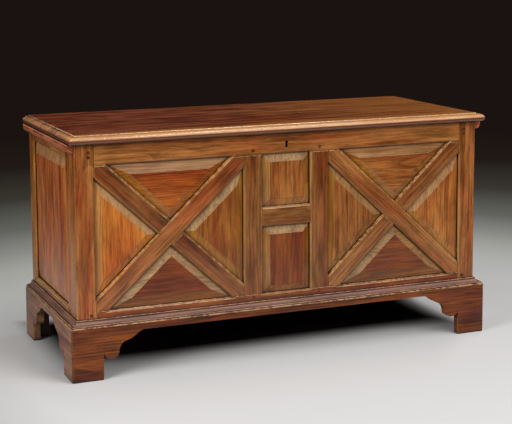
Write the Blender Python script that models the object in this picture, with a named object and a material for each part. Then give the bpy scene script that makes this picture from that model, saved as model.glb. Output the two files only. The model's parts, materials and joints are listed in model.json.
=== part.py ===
"""A joined blanket chest: a panelled case with two X braces on its front, on a bracket base.

The lid turns on two butt hinges at the back, and a lock bolt slides behind the keyhole.
Lengths are in metres. +X runs along the front to the right, -Y is the front and +Z is up.
The origin is on the floor, under the middle of the chest.
"""

from math import cos, hypot, pi, sin

import bmesh
import bpy
from mathutils import Vector

# Gap between two pieces that touch
FIT = 0.0003

# Case
CASE_WIDTH = 1.220
CASE_DEPTH = 0.505
CASE_HEIGHT = 0.505
CASE_BOTTOM_Z = 0.132
FRAME_THICKNESS = 0.026
POST_WIDTH = 0.054
FRONT_POST_DEPTH = 0.092
REAR_POST_DEPTH = 0.050
POST_ARRIS = 0.0015
TOP_RAIL_HEIGHT = 0.060
BOTTOM_RAIL_HEIGHT = 0.051
END_TOP_RAIL_HEIGHT = 0.047
MUNTIN_WIDTH = 0.058
CENTRE_OPENING_WIDTH = 0.145
UPPER_OPENING_HEIGHT = 0.148
MIDDLE_RAIL_HEIGHT = 0.057

# Joints of the frames
GROOVE_SETBACK = 0.009
GROOVE_WIDTH = 0.008
GROOVE_DEPTH = 0.008
TENON_LENGTH = 0.035
TENON_SHOULDER = 0.010
MUNTIN_TENON_LENGTH = 0.020
CHAMFER = 0.0045

# X braces
BRACE_WIDTH = 0.052
BRACE_THICKNESS = 0.022
BRACE_OVERRUN = 0.2

# Panels
TONGUE_LENGTH = 0.0074
FIELD_SETBACK = 0.0022
FIELD_STEP = 0.0013
RAIL_BEVEL = 0.027
STILE_BEVEL = 0.018
BRACE_BEVEL = 0.020
CENTRE_BEVEL = 0.021
END_TOP_BEVEL = 0.030
END_BEVEL = 0.025

# Bottom boards
BOTTOM_BOARDS = 2
BOTTOM_BOARD_RISE = 0.014
BOTTOM_BOARD_THICKNESS = 0.014
BOTTOM_BOARD_GAP = 0.001

# Base moulding and bracket base
MOULDING_RISE = 0.032
MOULDING_HEIGHT = 0.016
MOULDING_PROJECTION = 0.020
MOULDING_FILLET = 0.0045
MOULDING_NOSE = 0.0035
BRACKET_PROJECTION = 0.023
APRON_DROP = 0.004
FRONT_FOOT_WIDTH = 0.088
END_FOOT_WIDTH = 0.090
REAR_FOOT_WIDTH = 0.088
LOBE_GAP = 0.0015
LOBE_WIDTH = 0.041
LOBE_DEPTH = 0.015
COVE_WIDTH = 0.025
COVE_HEIGHT = 0.031
SCROLL_STEP = 0.003
SCROLL_WIDTH = 0.044
SCROLL_HEIGHT = 0.022
REAR_BRACKET_WIDTH = 0.056
REAR_BRACKET_THICKNESS = 0.022
REAR_BRACKET_RADIUS = 0.045
FOOT_BLOCK_SIZE = 0.034

# Lid
LID_THICKNESS = 0.024
LID_SIDE_OVERHANG = 0.018
LID_FRONT_OVERHANG = 0.025
LID_THUMB_WIDTH = 0.018
LID_THUMB_DROP = 0.012
LID_THUMB_STEP = 0.002
LID_UNDER_CHAMFER = 0.005
CLEAT_HEIGHT = 0.024
CLEAT_SETBACK = 0.002
CLEAT_CLEARANCE = 0.0008
CLEAT_TOP_ROUND = 0.0045
CLEAT_NOSE_HEIGHT = 0.005
CLEAT_FOOT_WIDTH = 0.007

# Butt hinges
HINGE_INSET = 0.230
HINGE_WIDTH = 0.075
HINGE_KNUCKLES = 5
KNUCKLE_GAP = 0.0004
BARREL_RADIUS = 0.0042
PIN_RADIUS = 0.0021
PIN_CLEARANCE = 0.0003
LEAF_LENGTH = 0.022
LEAF_THICKNESS = 0.0022
BARREL_SETBACK = 0.0047

# Lock
KEYHOLE_BELOW_TOP = 0.0287
KEYHOLE_RADIUS = 0.0037
KEYHOLE_DROP = 0.0153
KEYHOLE_NECK = 0.0030
KEYHOLE_FOOT = 0.0056
KEYHOLE_WEAR = 0.0008
LOCK_WIDTH = 0.090
LOCK_HEIGHT = 0.052
LOCK_DEPTH = 0.018
LOCK_WALL = 0.0018
LOCK_DROP = 0.0005
SELVEDGE_DEPTH = 0.010
GUIDE_WIDTH = 0.009
GUIDE_HEIGHT = 0.016
GUIDE_SETBACK = 0.023
GUIDE_TO_STAPLE = 0.0025
BOLT_LENGTH = 0.049
BOLT_TO_STAPLE = 0.002
BOLT_HEIGHT = 0.008
BOLT_DEPTH = 0.0045
BOLT_BELOW_TOP = 0.017
TALON_WIDTH = 0.006
TALON_HEIGHT = 0.003
STAPLE_X = 0.0155
STAPLE_THICKNESS = 0.004
STAPLE_WALL = 0.0024
STAPLE_CLEARANCE = 0.001
STAPLE_PLATE_WIDTH = 0.054
STAPLE_PLATE_DEPTH = 0.018
STAPLE_PLATE_THICKNESS = 0.002

# Segments of a quarter of a moulded curve and of a full round, and the least angle of a sharp edge
CURVE_STEPS = 6
ROUND_STEPS = 24
SHARP_ANGLE = pi / 6

# Places that follow from the sizes above
HALF_WIDTH = CASE_WIDTH / 2
OUTER = max(LID_FRONT_OVERHANG, BRACKET_PROJECTION)
BACK_REACH = BARREL_SETBACK + BARREL_RADIUS
CASE_FRONT_Y = (OUTER - CASE_DEPTH - BACK_REACH) / 2
CASE_BACK_Y = CASE_FRONT_Y + CASE_DEPTH
CASE_TOP_Z = CASE_BOTTOM_Z + CASE_HEIGHT
LID_BOTTOM_Z = CASE_TOP_Z + FIT
HINGE_AXIS = Vector((0, CASE_BACK_Y + BARREL_SETBACK, CASE_TOP_Z + FIT / 2))
POST_INNER_X = HALF_WIDTH - POST_WIDTH
OPENING_TOP_Z = CASE_TOP_Z - TOP_RAIL_HEIGHT
OPENING_BOTTOM_Z = CASE_BOTTOM_Z + BOTTOM_RAIL_HEIGHT
END_OPENING_TOP_Z = CASE_TOP_Z - END_TOP_RAIL_HEIGHT
MUNTIN_INNER_X = CENTRE_OPENING_WIDTH / 2
MUNTIN_OUTER_X = MUNTIN_INNER_X + MUNTIN_WIDTH
MIDDLE_RAIL_TOP_Z = OPENING_TOP_Z - UPPER_OPENING_HEIGHT
MIDDLE_RAIL_BOTTOM_Z = MIDDLE_RAIL_TOP_Z - MIDDLE_RAIL_HEIGHT
TONGUE_FRONT = GROOVE_SETBACK + FIT
TONGUE_BACK = GROOVE_SETBACK + GROOVE_WIDTH - FIT
BOTTOM_BOARD_Z = CASE_BOTTOM_Z + BOTTOM_BOARD_RISE
MOULDING_TOP_Z = CASE_BOTTOM_Z + MOULDING_RISE
BRACKET_TOP_Z = MOULDING_TOP_Z - MOULDING_HEIGHT - FIT
APRON_BOTTOM_Z = CASE_BOTTOM_Z - APRON_DROP
COVE_TOP_Z = APRON_BOTTOM_Z - SCROLL_HEIGHT - SCROLL_STEP
LOBE_TOP_Z = COVE_TOP_Z - COVE_HEIGHT
KEYHOLE_Z = CASE_TOP_Z - KEYHOLE_BELOW_TOP
BOLT_Z = CASE_TOP_Z - BOLT_BELOW_TOP
BOLT_END_X = STAPLE_X - STAPLE_THICKNESS / 2 - BOLT_TO_STAPLE
LEFT_GUIDE_X = -GUIDE_SETBACK
RIGHT_GUIDE_X = STAPLE_X + STAPLE_THICKNESS / 2 + GUIDE_TO_STAPLE + GUIDE_WIDTH / 2
LOCK_FRONT = FRAME_THICKNESS + FIT
LOCK_BACK = LOCK_FRONT + LOCK_DEPTH
LOCK_MIDDLE = (LOCK_FRONT + LOCK_BACK) / 2
LOCK_TOP_Z = CASE_TOP_Z - LOCK_DROP
FLOOR_TO_CASE = CASE_BOTTOM_Z - FIT


# Scene and materials


def clear_scene():
    for obj in list(bpy.data.objects):
        bpy.data.objects.remove(obj)


def material(name, colour, roughness, metallic=0.0):
    made = bpy.data.materials.new(name)
    made.use_nodes = True
    shader = made.node_tree.nodes["Principled BSDF"]
    shader.inputs["Base Color"].default_value = (*colour, 1.0)
    shader.inputs["Roughness"].default_value = roughness
    shader.inputs["Metallic"].default_value = metallic
    return made


FRAME_WOOD = ((0.34, 0.13, 0.040), 0.42, 0.0)
PANEL_WOOD = ((0.42, 0.14, 0.030), 0.40, 0.0)
FOOT_WOOD = ((0.27, 0.075, 0.030), 0.45, 0.0)
HIDDEN_WOOD = ((0.30, 0.17, 0.085), 0.75, 0.0)
LID_WOOD = ((0.36, 0.12, 0.035), 0.35, 0.0)
IRON = ((0.10, 0.095, 0.09), 0.55, 0.9)


# Meshes


def closed_mesh(loops):
    """A closed solid through loops that each hold as many points, with its two ends capped."""
    mesh = bmesh.new()
    rings = [[mesh.verts.new(point) for point in loop] for loop in loops]
    count = len(rings[0])
    for ring, following in zip(rings, rings[1:]):
        for i in range(count):
            j = (i + 1) % count
            mesh.faces.new((ring[i], ring[j], following[j], following[i]))
    mesh.faces.new(reversed(rings[0]))
    mesh.faces.new(rings[-1])
    bmesh.ops.recalc_face_normals(mesh, faces=mesh.faces)
    return mesh


def box(x0, x1, y0, y1, z0, z1):
    return closed_mesh([[(x, y0, z0), (x, y1, z0), (x, y1, z1), (x, y0, z1)] for x in (x0, x1)])


def prism(points, start, end, axis="Y"):
    """The outline points, extruded from start to end along axis. They give (x, z), (y, z) or (x, y)."""
    def place(a, b, along):
        return {"X": (along, a, b), "Y": (a, along, b), "Z": (a, b, along)}[axis]
    return closed_mesh([[place(a, b, along) for a, b in points] for along in (start, end)])


def member(length_axis, ends, width, depth, tenon_width, tenon_length):
    """A rail or muntin with a tenon at each end. ends, width and depth are (low, high) pairs."""
    tenon_depth = (TONGUE_FRONT, TONGUE_BACK)

    def loop(along, across, through):
        corners = [(across[0], through[0]), (across[1], through[0]), (across[1], through[1]),
                   (across[0], through[1])]
        if length_axis == "X":
            return [(along, y, z) for z, y in corners]
        return [(x, y, along) for x, y in corners]

    low, high = ends
    body, tenon = (width, depth), (tenon_width, tenon_depth)
    return closed_mesh([
        loop(low - tenon_length, *tenon), loop(low, *tenon), loop(low, *body),
        loop(high, *body), loop(high, *tenon), loop(high + tenon_length, *tenon),
    ])


def add(name, mesh, finish=None, parent=None, origin=None, smooth=False):
    """Makes an object from a mesh drawn in its parent's frame, with its origin at the mesh's middle."""
    if origin is None:
        low = Vector([min(vert.co[i] for vert in mesh.verts) for i in range(3)])
        high = Vector([max(vert.co[i] for vert in mesh.verts) for i in range(3)])
        origin = (low + high) / 2
    bmesh.ops.translate(mesh, verts=mesh.verts, vec=-Vector(origin))
    data = bpy.data.meshes.new(name)
    mesh.to_mesh(data)
    mesh.free()
    obj = bpy.data.objects.new(name, data)
    bpy.context.scene.collection.objects.link(obj)
    obj.parent = parent
    obj.location = origin
    if finish:
        data.materials.append(material(name, *finish))
    if smooth:
        data.shade_smooth()
        data.set_sharp_from_angle(angle=SHARP_ANGLE)
    return obj


def cutter(name, mesh, parent=None):
    obj = add(name, mesh, parent=parent)
    obj.hide_render = True
    obj.display_type = "WIRE"
    return obj


def combine(target, tool, operation):
    modifier = target.modifiers.new(tool.name, "BOOLEAN")
    modifier.operation = operation
    modifier.solver = "EXACT"
    modifier.object = tool


def cut(targets, tool):
    for target in targets:
        combine(target, tool, "DIFFERENCE")


def join(target, tool):
    combine(target, tool, "UNION")


# Outlines


def rectangle(x0, x1, z0, z1):
    return [(x0, z0), (x1, z0), (x1, z1), (x0, z1)]


def widened(points, distances):
    """The convex outline with each edge, from point i to the next, moved outwards by its distance."""
    if not hasattr(distances, "__len__"):
        distances = [distances] * len(points)
    count = len(points)
    area = sum(points[i][0] * points[(i + 1) % count][1] - points[(i + 1) % count][0] * points[i][1]
               for i in range(count))
    turn = 1 if area > 0 else -1
    lines = []
    for i, distance in enumerate(distances):
        (ax, az), (bx, bz) = points[i], points[(i + 1) % count]
        length = hypot(bx - ax, bz - az)
        nx, nz = turn * (bz - az) / length, -turn * (bx - ax) / length
        lines.append((nx, nz, nx * ax + nz * az + distance))
    found = []
    for i in range(count):
        (a1, b1, c1), (a2, b2, c2) = lines[i - 1], lines[i]
        det = a1 * b2 - a2 * b1
        found.append(((c1 * b2 - c2 * b1) / det, (a1 * c2 - a2 * c1) / det))
    return found


def clipped(points, x0, x1, z0, z1):
    """The part of a convex outline inside a rectangle."""
    for axis, limit, side in ((0, x0, 1), (0, x1, -1), (1, z0, 1), (1, z1, -1)):
        kept = []
        for a, b in zip(points, points[1:] + points[:1]):
            da, db = side * (a[axis] - limit), side * (b[axis] - limit)
            if da >= 0:
                kept.append(a)
            if (da > 0 > db) or (da < 0 < db):
                t = da / (da - db)
                kept.append((a[0] + t * (b[0] - a[0]), a[1] + t * (b[1] - a[1])))
        points = kept
    return points


def quarter(centre, radii, start):
    """Points of a quarter ellipse from the angle start, in radians, turning anticlockwise."""
    angles = [start + pi / 2 * i / CURVE_STEPS for i in range(CURVE_STEPS + 1)]
    return [(centre[0] + radii[0] * cos(angle), centre[1] + radii[1] * sin(angle)) for angle in angles]


def round_outline(radius):
    angles = [2 * pi * i / ROUND_STEPS for i in range(ROUND_STEPS)]
    return [(radius * cos(angle), radius * sin(angle)) for angle in angles]


# Frames and panels, drawn in the frame of one face: x to the right, y inwards from the face, z up


def face(name, location, turn):
    obj = bpy.data.objects.new(name, None)
    bpy.context.scene.collection.objects.link(obj)
    obj.location = location
    obj.rotation_euler = (0, 0, turn)
    return obj


def cut_groove(name, opening, targets, parent):
    """The groove that holds a panel, all round an opening given as x0, x1, z0, z1."""
    outline = widened(rectangle(*opening), GROOVE_DEPTH)
    mesh = prism(outline, GROOVE_SETBACK, GROOVE_SETBACK + GROOVE_WIDTH)
    cut(targets, cutter(name + "_groove", mesh, parent))


def cut_chamfer(name, outline, targets, parent):
    """The mitred chamfer on the face arrises of an opening, cut by a tapering plug."""
    over = CHAMFER / 3
    loops = []
    for depth, widen in ((-over, CHAMFER + over), (CHAMFER, 0.0)):
        loops.append([(x, depth, z) for x, z in widened(outline, widen)])
    cut(targets, cutter(name + "_chamfer", closed_mesh(loops), parent))


def cut_mortise(name, target, x0, x1, z0, z1, parent):
    mesh = box(x0, x1, GROOVE_SETBACK, GROOVE_SETBACK + GROOVE_WIDTH, z0, z1)
    cut([target], cutter(name + "_mortise", mesh, parent))


def raised_panel(name, outline, bevels, parent):
    """A panel with a tongue round it and a raised field. bevels are the widths, edge by edge."""
    tongue = widened(outline, TONGUE_LENGTH)
    field = widened(outline, [-bevel for bevel in bevels])
    inner_field = widened(field, -FIELD_STEP / 2)
    loops = [(TONGUE_BACK, tongue), (TONGUE_FRONT, tongue), (TONGUE_FRONT, outline),
             (FIELD_SETBACK + FIELD_STEP, field), (FIELD_SETBACK, inner_field)]
    mesh = closed_mesh([[(x, depth, z) for x, z in points] for depth, points in loops])
    return add(name, mesh, PANEL_WOOD, parent)


def rail(name, x0, x1, z0, z1, parent, finish=FRAME_WOOD, tenon_length=TENON_LENGTH):
    mesh = member("X", (x0 + FIT, x1 - FIT), (z0, z1), (0, FRAME_THICKNESS),
                  (z0 + TENON_SHOULDER, z1 - TENON_SHOULDER), tenon_length - 2 * FIT)
    return add(name, mesh, finish, parent)


def rail_mortises(name, x0, x1, z0, z1, left, right, parent, tenon_length=TENON_LENGTH):
    """The mortises for a rail's two tenons, in the pieces to its left and right."""
    low, high = z0 + TENON_SHOULDER - FIT, z1 - TENON_SHOULDER + FIT
    cut_mortise(name + "_left", left, x0 - tenon_length, x0 + FIT, low, high, parent)
    cut_mortise(name + "_right", right, x1 - FIT, x1 + tenon_length, low, high, parent)


def muntin(name, x0, x1, z0, z1, below, above, parent, finish=FRAME_WOOD):
    mesh = member("Z", (z0 + FIT, z1 - FIT), (x0, x1), (0, FRAME_THICKNESS),
                  (x0 + TENON_SHOULDER, x1 - TENON_SHOULDER), MUNTIN_TENON_LENGTH - 2 * FIT)
    low, high = x0 + TENON_SHOULDER - FIT, x1 - TENON_SHOULDER + FIT
    cut_mortise(name + "_foot", below, low, high, z0 - MUNTIN_TENON_LENGTH, z0 + FIT, parent)
    cut_mortise(name + "_head", above, low, high, z1 - FIT, z1 + MUNTIN_TENON_LENGTH, parent)
    return add(name, mesh, finish, parent)


def post(name, side, at_front):
    """A corner post, with its outer arris eased. side is -1 on the left and 1 on the right."""
    outer, inner = side * HALF_WIDTH, side * POST_INNER_X
    depth = FRONT_POST_DEPTH if at_front else REAR_POST_DEPTH
    edge_y = CASE_FRONT_Y if at_front else CASE_BACK_Y
    inward = 1 if at_front else -1
    outline = [(outer - side * POST_ARRIS, edge_y), (inner, edge_y),
               (inner, edge_y + inward * depth), (outer, edge_y + inward * depth),
               (outer, edge_y + inward * POST_ARRIS)]
    return add(name, prism(outline, CASE_BOTTOM_Z, CASE_TOP_Z, "Z"), FRAME_WOOD)


# The X of braces and its four panels


def diagonal(opening, rising):
    """The middle of an opening, the direction of its diagonal and half the diagonal's length."""
    x0, x1, z0, z1 = opening
    length = hypot(x1 - x0, z1 - z0)
    direction = ((x1 - x0) / length, (z1 - z0) / length * (1 if rising else -1))
    return ((x0 + x1) / 2, (z0 + z1) / 2), direction, length / 2


def brace_band(opening, rising, low, high, overrun=BRACE_OVERRUN):
    """A band along the diagonal, between two distances to its upper side, run past both corners."""
    (cx, cz), (ux, uz), half_length = diagonal(opening, rising)
    reach = half_length + overrun
    return [(cx + ux * along - uz * across, cz + uz * along + ux * across)
            for along, across in ((-reach, low), (reach, low), (reach, high), (-reach, high))]


def brace(name, opening, rising, in_front, parent):
    """One brace, tongued into the frame's groove at both ends and halved over the other brace."""
    half = BRACE_WIDTH / 2
    groove_floor = half - GROOVE_DEPTH
    x0, x1, z0, z1 = opening
    outline = clipped(brace_band(opening, rising, -half, half), x0 + FIT, x1 - FIT, z0 + FIT, z1 - FIT)
    made = add(name, prism(outline, 0, BRACE_THICKNESS), FRAME_WOOD, parent)
    tongue_half = groove_floor - 2 * FIT
    tongue = brace_band(opening, rising, -tongue_half, tongue_half)
    inside, reach = 2 * FIT, TONGUE_LENGTH
    for way, bounds in (
        ("sides", (x0 - reach, x1 + reach, z0 + inside, z1 - inside)),
        ("rails", (x0 + inside, x1 - inside, z0 - reach, z1 + reach)),
    ):
        mesh = prism(clipped(tongue, *bounds), TONGUE_FRONT, TONGUE_BACK)
        join(made, cutter(f"{name}_tongue_{way}", mesh, parent))
    for edge, low, high in (("upper", groove_floor, BRACE_WIDTH), ("lower", -BRACE_WIDTH, -groove_floor)):
        strip = brace_band(opening, rising, low, high)
        mesh = prism(strip, GROOVE_SETBACK, GROOVE_SETBACK + GROOVE_WIDTH)
        cut([made], cutter(f"{name}_groove_{edge}", mesh, parent))
    lap = brace_band(opening, not rising, -half - FIT, half + FIT, 0)
    middle = BRACE_THICKNESS / 2
    waste = (middle - FIT / 2, 2 * BRACE_THICKNESS) if in_front else (-middle, middle + FIT / 2)
    cut([made], cutter(name + "_lap", prism(lap, *waste), parent))
    return made


def x_panels(opening):
    """(name, outline, bevels) of the four triangles between the braces."""
    x0, x1, z0, z1 = opening
    centre = ((x0 + x1) / 2, (z0 + z1) / 2)
    corners = {"top": ((x0, z1), (x1, z1)), "bottom": ((x1, z0), (x0, z0)),
               "left": ((x0, z0), (x0, z1)), "right": ((x1, z1), (x1, z0))}
    half = BRACE_WIDTH / 2
    for name, (a, b) in corners.items():
        outline = widened([a, b, centre], [0, -half, -half])
        edge = RAIL_BEVEL if name in ("top", "bottom") else STILE_BEVEL
        yield name, outline, (edge, BRACE_BEVEL, BRACE_BEVEL)


def x_bay(side, opening, frame_pieces, front):
    """The braces and panels of one X. The brace that rises towards the chest's middle runs through."""
    front_rises = side == "left"
    through = brace(side + "_through_brace", opening, front_rises, True, front)
    halved = brace(side + "_halved_brace", opening, not front_rises, False, front)
    cut_groove(side + "_bay", opening, frame_pieces, front)
    for name, outline, bevels in x_panels(opening):
        full_name = f"{side}_x_{name}_panel"
        cut_chamfer(full_name, outline, [*frame_pieces, through, halved], front)
        raised_panel(full_name, outline, bevels, front)


# The case


def case_front(posts):
    front = face("front_face", (0, CASE_FRONT_Y, 0), 0)
    left_post, right_post = posts["front_left"], posts["front_right"]
    top = (-POST_INNER_X, POST_INNER_X, OPENING_TOP_Z, CASE_TOP_Z)
    bottom = (-POST_INNER_X, POST_INNER_X, CASE_BOTTOM_Z, OPENING_BOTTOM_Z)
    top_rail = rail("front_top_rail", *top, front)
    bottom_rail = rail("front_bottom_rail", *bottom, front)
    rail_mortises("front_top", *top, left_post, right_post, front)
    rail_mortises("front_bottom", *bottom, left_post, right_post, front)
    muntins = {}
    for side, (x0, x1) in (("left", (-MUNTIN_OUTER_X, -MUNTIN_INNER_X)),
                           ("right", (MUNTIN_INNER_X, MUNTIN_OUTER_X))):
        muntins[side] = muntin(f"front_{side}_muntin", x0, x1, OPENING_BOTTOM_Z, OPENING_TOP_Z,
                               bottom_rail, top_rail, front)
    middle = (-MUNTIN_INNER_X, MUNTIN_INNER_X, MIDDLE_RAIL_BOTTOM_Z, MIDDLE_RAIL_TOP_Z)
    middle_rail = rail("front_middle_rail", *middle, front, tenon_length=MUNTIN_TENON_LENGTH)
    rail_mortises("middle", *middle, muntins["left"], muntins["right"], front, MUNTIN_TENON_LENGTH)

    for name, z0, z1, above, below in (
        ("upper", MIDDLE_RAIL_TOP_Z, OPENING_TOP_Z, top_rail, middle_rail),
        ("lower", OPENING_BOTTOM_Z, MIDDLE_RAIL_BOTTOM_Z, middle_rail, bottom_rail),
    ):
        opening = (-MUNTIN_INNER_X, MUNTIN_INNER_X, z0, z1)
        around = [above, below, muntins["left"], muntins["right"]]
        full_name = f"centre_{name}_panel"
        cut_groove(full_name, opening, around, front)
        cut_chamfer(full_name, rectangle(*opening), around, front)
        raised_panel(full_name, rectangle(*opening), [CENTRE_BEVEL] * 4, front)

    x_bay("left", (-POST_INNER_X, -MUNTIN_OUTER_X, OPENING_BOTTOM_Z, OPENING_TOP_Z),
          [left_post, muntins["left"], top_rail, bottom_rail], front)
    x_bay("right", (MUNTIN_OUTER_X, POST_INNER_X, OPENING_BOTTOM_Z, OPENING_TOP_Z),
          [right_post, muntins["right"], top_rail, bottom_rail], front)
    return front, top_rail, bottom_rail


def case_end(side, posts):
    """One end of the case. Its frame's x runs from -y to y of the chest on the right end."""
    sign = {"left": -1, "right": 1}[side]
    middle_y = (CASE_FRONT_Y + CASE_BACK_Y) / 2
    end = face(side + "_end_face", (sign * HALF_WIDTH, middle_y, 0), sign * pi / 2)
    front_x = -sign * (CASE_DEPTH / 2 - FRONT_POST_DEPTH)
    rear_x = sign * (CASE_DEPTH / 2 - REAR_POST_DEPTH)
    x0, x1 = sorted((front_x, rear_x))
    ordered = [posts[f"front_{side}"], posts[f"rear_{side}"]][::sign]
    rails = []
    for level, z0, z1 in (("top", END_OPENING_TOP_Z, CASE_TOP_Z),
                          ("bottom", CASE_BOTTOM_Z, OPENING_BOTTOM_Z)):
        rails.append(rail(f"{side}_end_{level}_rail", x0, x1, z0, z1, end))
        rail_mortises(f"{side}_end_{level}", x0, x1, z0, z1, *ordered, end)
    opening = (x0, x1, OPENING_BOTTOM_Z, END_OPENING_TOP_Z)
    cut_groove(side + "_end_panel", opening, [*ordered, *rails], end)
    cut_chamfer(side + "_end_panel", rectangle(*opening), [*ordered, *rails], end)
    bevels = [END_BEVEL, END_BEVEL, END_TOP_BEVEL, END_BEVEL]
    raised_panel(side + "_end_panel", rectangle(*opening), bevels, end)
    return rails[1]


def case_back(posts):
    back = face("back_face", (0, CASE_BACK_Y, 0), pi)
    right_post, left_post = posts["rear_right"], posts["rear_left"]
    rails = {}
    for level, z0, z1 in (("top", OPENING_TOP_Z, CASE_TOP_Z),
                          ("bottom", CASE_BOTTOM_Z, OPENING_BOTTOM_Z)):
        span = (-POST_INNER_X, POST_INNER_X, z0, z1)
        rails[level] = rail(f"back_{level}_rail", *span, back, HIDDEN_WOOD)
        rail_mortises(f"back_{level}", *span, right_post, left_post, back)
    half = MUNTIN_WIDTH / 2
    middle = muntin("back_muntin", -half, half, OPENING_BOTTOM_Z, OPENING_TOP_Z,
                    rails["bottom"], rails["top"], back, HIDDEN_WOOD)
    for side, x0, x1, side_post in (("right", -POST_INNER_X, -half, right_post),
                                    ("left", half, POST_INNER_X, left_post)):
        opening = (x0, x1, OPENING_BOTTOM_Z, OPENING_TOP_Z)
        cut_groove(f"back_{side}", opening, [side_post, middle, rails["top"], rails["bottom"]], back)
        outline = widened(rectangle(*opening), TONGUE_LENGTH)
        add(f"back_{side}_panel", prism(outline, TONGUE_FRONT, TONGUE_BACK), HIDDEN_WOOD, back)
    return rails["top"], rails["bottom"]


def bottom_boards(bottom_rails):
    """Boards from front to back, held in a groove in the four bottom rails and notched round the posts."""
    inset = FRAME_THICKNESS - GROOVE_DEPTH
    under, top = BOTTOM_BOARD_Z, BOTTOM_BOARD_Z + BOTTOM_BOARD_THICKNESS
    reach = HALF_WIDTH - inset
    front_y, back_y = CASE_FRONT_Y + inset, CASE_BACK_Y - inset
    groove = cutter("bottom_groove", box(-reach, reach, front_y, back_y, under - FIT, top + FIT))
    cut(bottom_rails, groove)
    notches = []
    for end, sign in (("left", -1), ("right", 1)):
        x0, x1 = sorted((sign * (POST_INNER_X - 2 * FIT), sign * CASE_WIDTH))
        for depth, y0, y1 in (
            ("front", CASE_FRONT_Y - CASE_DEPTH, CASE_FRONT_Y + FRONT_POST_DEPTH + 2 * FIT),
            ("rear", CASE_BACK_Y - REAR_POST_DEPTH - 2 * FIT, CASE_BACK_Y + CASE_DEPTH),
        ):
            mesh = box(x0, x1, y0, y1, under - CASE_BOTTOM_Z / 2, top + CASE_BOTTOM_Z)
            notches.append((sign, cutter(f"{depth}_{end}_notch", mesh)))
    width = 2 * (reach - FIT) / BOTTOM_BOARDS
    for i in range(BOTTOM_BOARDS):
        x0 = -reach + FIT + i * width + (BOTTOM_BOARD_GAP / 2 if i else 0)
        x1 = -reach + FIT + (i + 1) * width - (BOTTOM_BOARD_GAP / 2 if i < BOTTOM_BOARDS - 1 else 0)
        board = add(f"bottom_board_{i + 1}", box(x0, x1, front_y + FIT, back_y - FIT, under, top),
                    HIDDEN_WOOD)
        for sign, notch in notches:
            if (x0 if sign < 0 else x1) * sign > POST_INNER_X:
                cut([board], notch)


# The base


def moulding_profile():
    """(projection, height) of the base moulding: a fillet, a cove that faces up, and a nose."""
    top, bottom = MOULDING_TOP_Z, MOULDING_TOP_Z - MOULDING_HEIGHT
    nose_top = bottom + MOULDING_NOSE
    fillet_bottom = top - MOULDING_FILLET
    cove_width = MOULDING_PROJECTION - MOULDING_FILLET - MOULDING_NOSE / 2
    centre = (MOULDING_FILLET + cove_width, fillet_bottom)
    cove = quarter(centre, (cove_width, fillet_bottom - nose_top), pi)
    return [(FIT, top), (MOULDING_FILLET, top), *cove, (MOULDING_PROJECTION, nose_top),
            (MOULDING_PROJECTION, bottom), (FIT, bottom)]


def bracket_curve(foot_width):
    """(distance from the board's end, height) up one scrolled foot, from the floor to the apron."""
    x = foot_width
    half_lobe = LOBE_WIDTH / 2
    points = [(x, 0.0), (x, LOBE_TOP_Z)]
    x += LOBE_GAP
    lobe = (x + half_lobe, LOBE_TOP_Z), (half_lobe, LOBE_DEPTH)
    points += [*quarter(*lobe, pi)[:-1], *quarter(*lobe, 1.5 * pi)]
    x += LOBE_WIDTH
    cove = quarter((x + COVE_WIDTH, LOBE_TOP_Z), (COVE_WIDTH, COVE_HEIGHT), pi / 2)
    points += cove[-2::-1]
    x += COVE_WIDTH + SCROLL_STEP
    points += [(x, COVE_TOP_Z)]
    steps = 2 * CURVE_STEPS
    for t in [i / steps for i in range(steps + 1)]:
        rise = SCROLL_HEIGHT * t * t * (3 - 2 * t)
        points.append((x + SCROLL_WIDTH * t, COVE_TOP_Z + SCROLL_STEP + rise))
    return points


def base_front():
    """The front moulding and bracket board, mitred at both ends."""
    profile = moulding_profile()
    loops = [[(sign * (HALF_WIDTH + p - FIT), CASE_FRONT_Y - p, z) for p, z in profile]
             for sign in (-1, 1)]
    add("front_base_moulding", closed_mesh(loops), FOOT_WOOD, smooth=True)
    foot = bracket_curve(FRONT_FOOT_WIDTH)
    outer = HALF_WIDTH + BRACKET_PROJECTION
    loops = []
    for p in (BRACKET_PROJECTION, FIT):
        end = HALF_WIDTH + p - FIT
        left = [(-outer + a, z) for a, z in foot]
        right = [(outer - a, z) for a, z in reversed(foot)]
        outline = [(-end, 0.0), *left, *right, (end, 0.0), (end, BRACKET_TOP_Z), (-end, BRACKET_TOP_Z)]
        loops.append([(x, CASE_FRONT_Y - p, z) for x, z in outline])
    add("front_bracket_board", closed_mesh(loops), FOOT_WOOD, smooth=True)


def base_end(side):
    """One end's moulding and bracket board, mitred at the front and square at the back."""
    sign = {"left": -1, "right": 1}[side]
    profile = moulding_profile()
    loops = [[(sign * (HALF_WIDTH + p), y(p), z) for p, z in profile]
             for y in (lambda p: CASE_FRONT_Y - p + FIT, lambda p: CASE_BACK_Y)]
    add(side + "_base_moulding", closed_mesh(loops), FOOT_WOOD, smooth=True)
    front_foot, rear_foot = bracket_curve(END_FOOT_WIDTH), bracket_curve(REAR_FOOT_WIDTH)
    outer = CASE_FRONT_Y - BRACKET_PROJECTION
    loops = []
    for p in (BRACKET_PROJECTION, FIT):
        end = CASE_FRONT_Y - p + FIT
        near = [(outer + a, z) for a, z in front_foot]
        far = [(CASE_BACK_Y - a, z) for a, z in reversed(rear_foot)]
        outline = [(end, 0.0), *near, *far, (CASE_BACK_Y, 0.0), (CASE_BACK_Y, BRACKET_TOP_Z),
                   (end, BRACKET_TOP_Z)]
        loops.append([(sign * (HALF_WIDTH + p), y, z) for y, z in outline])
    add(side + "_bracket_board", closed_mesh(loops), FOOT_WOOD, smooth=True)


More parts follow.
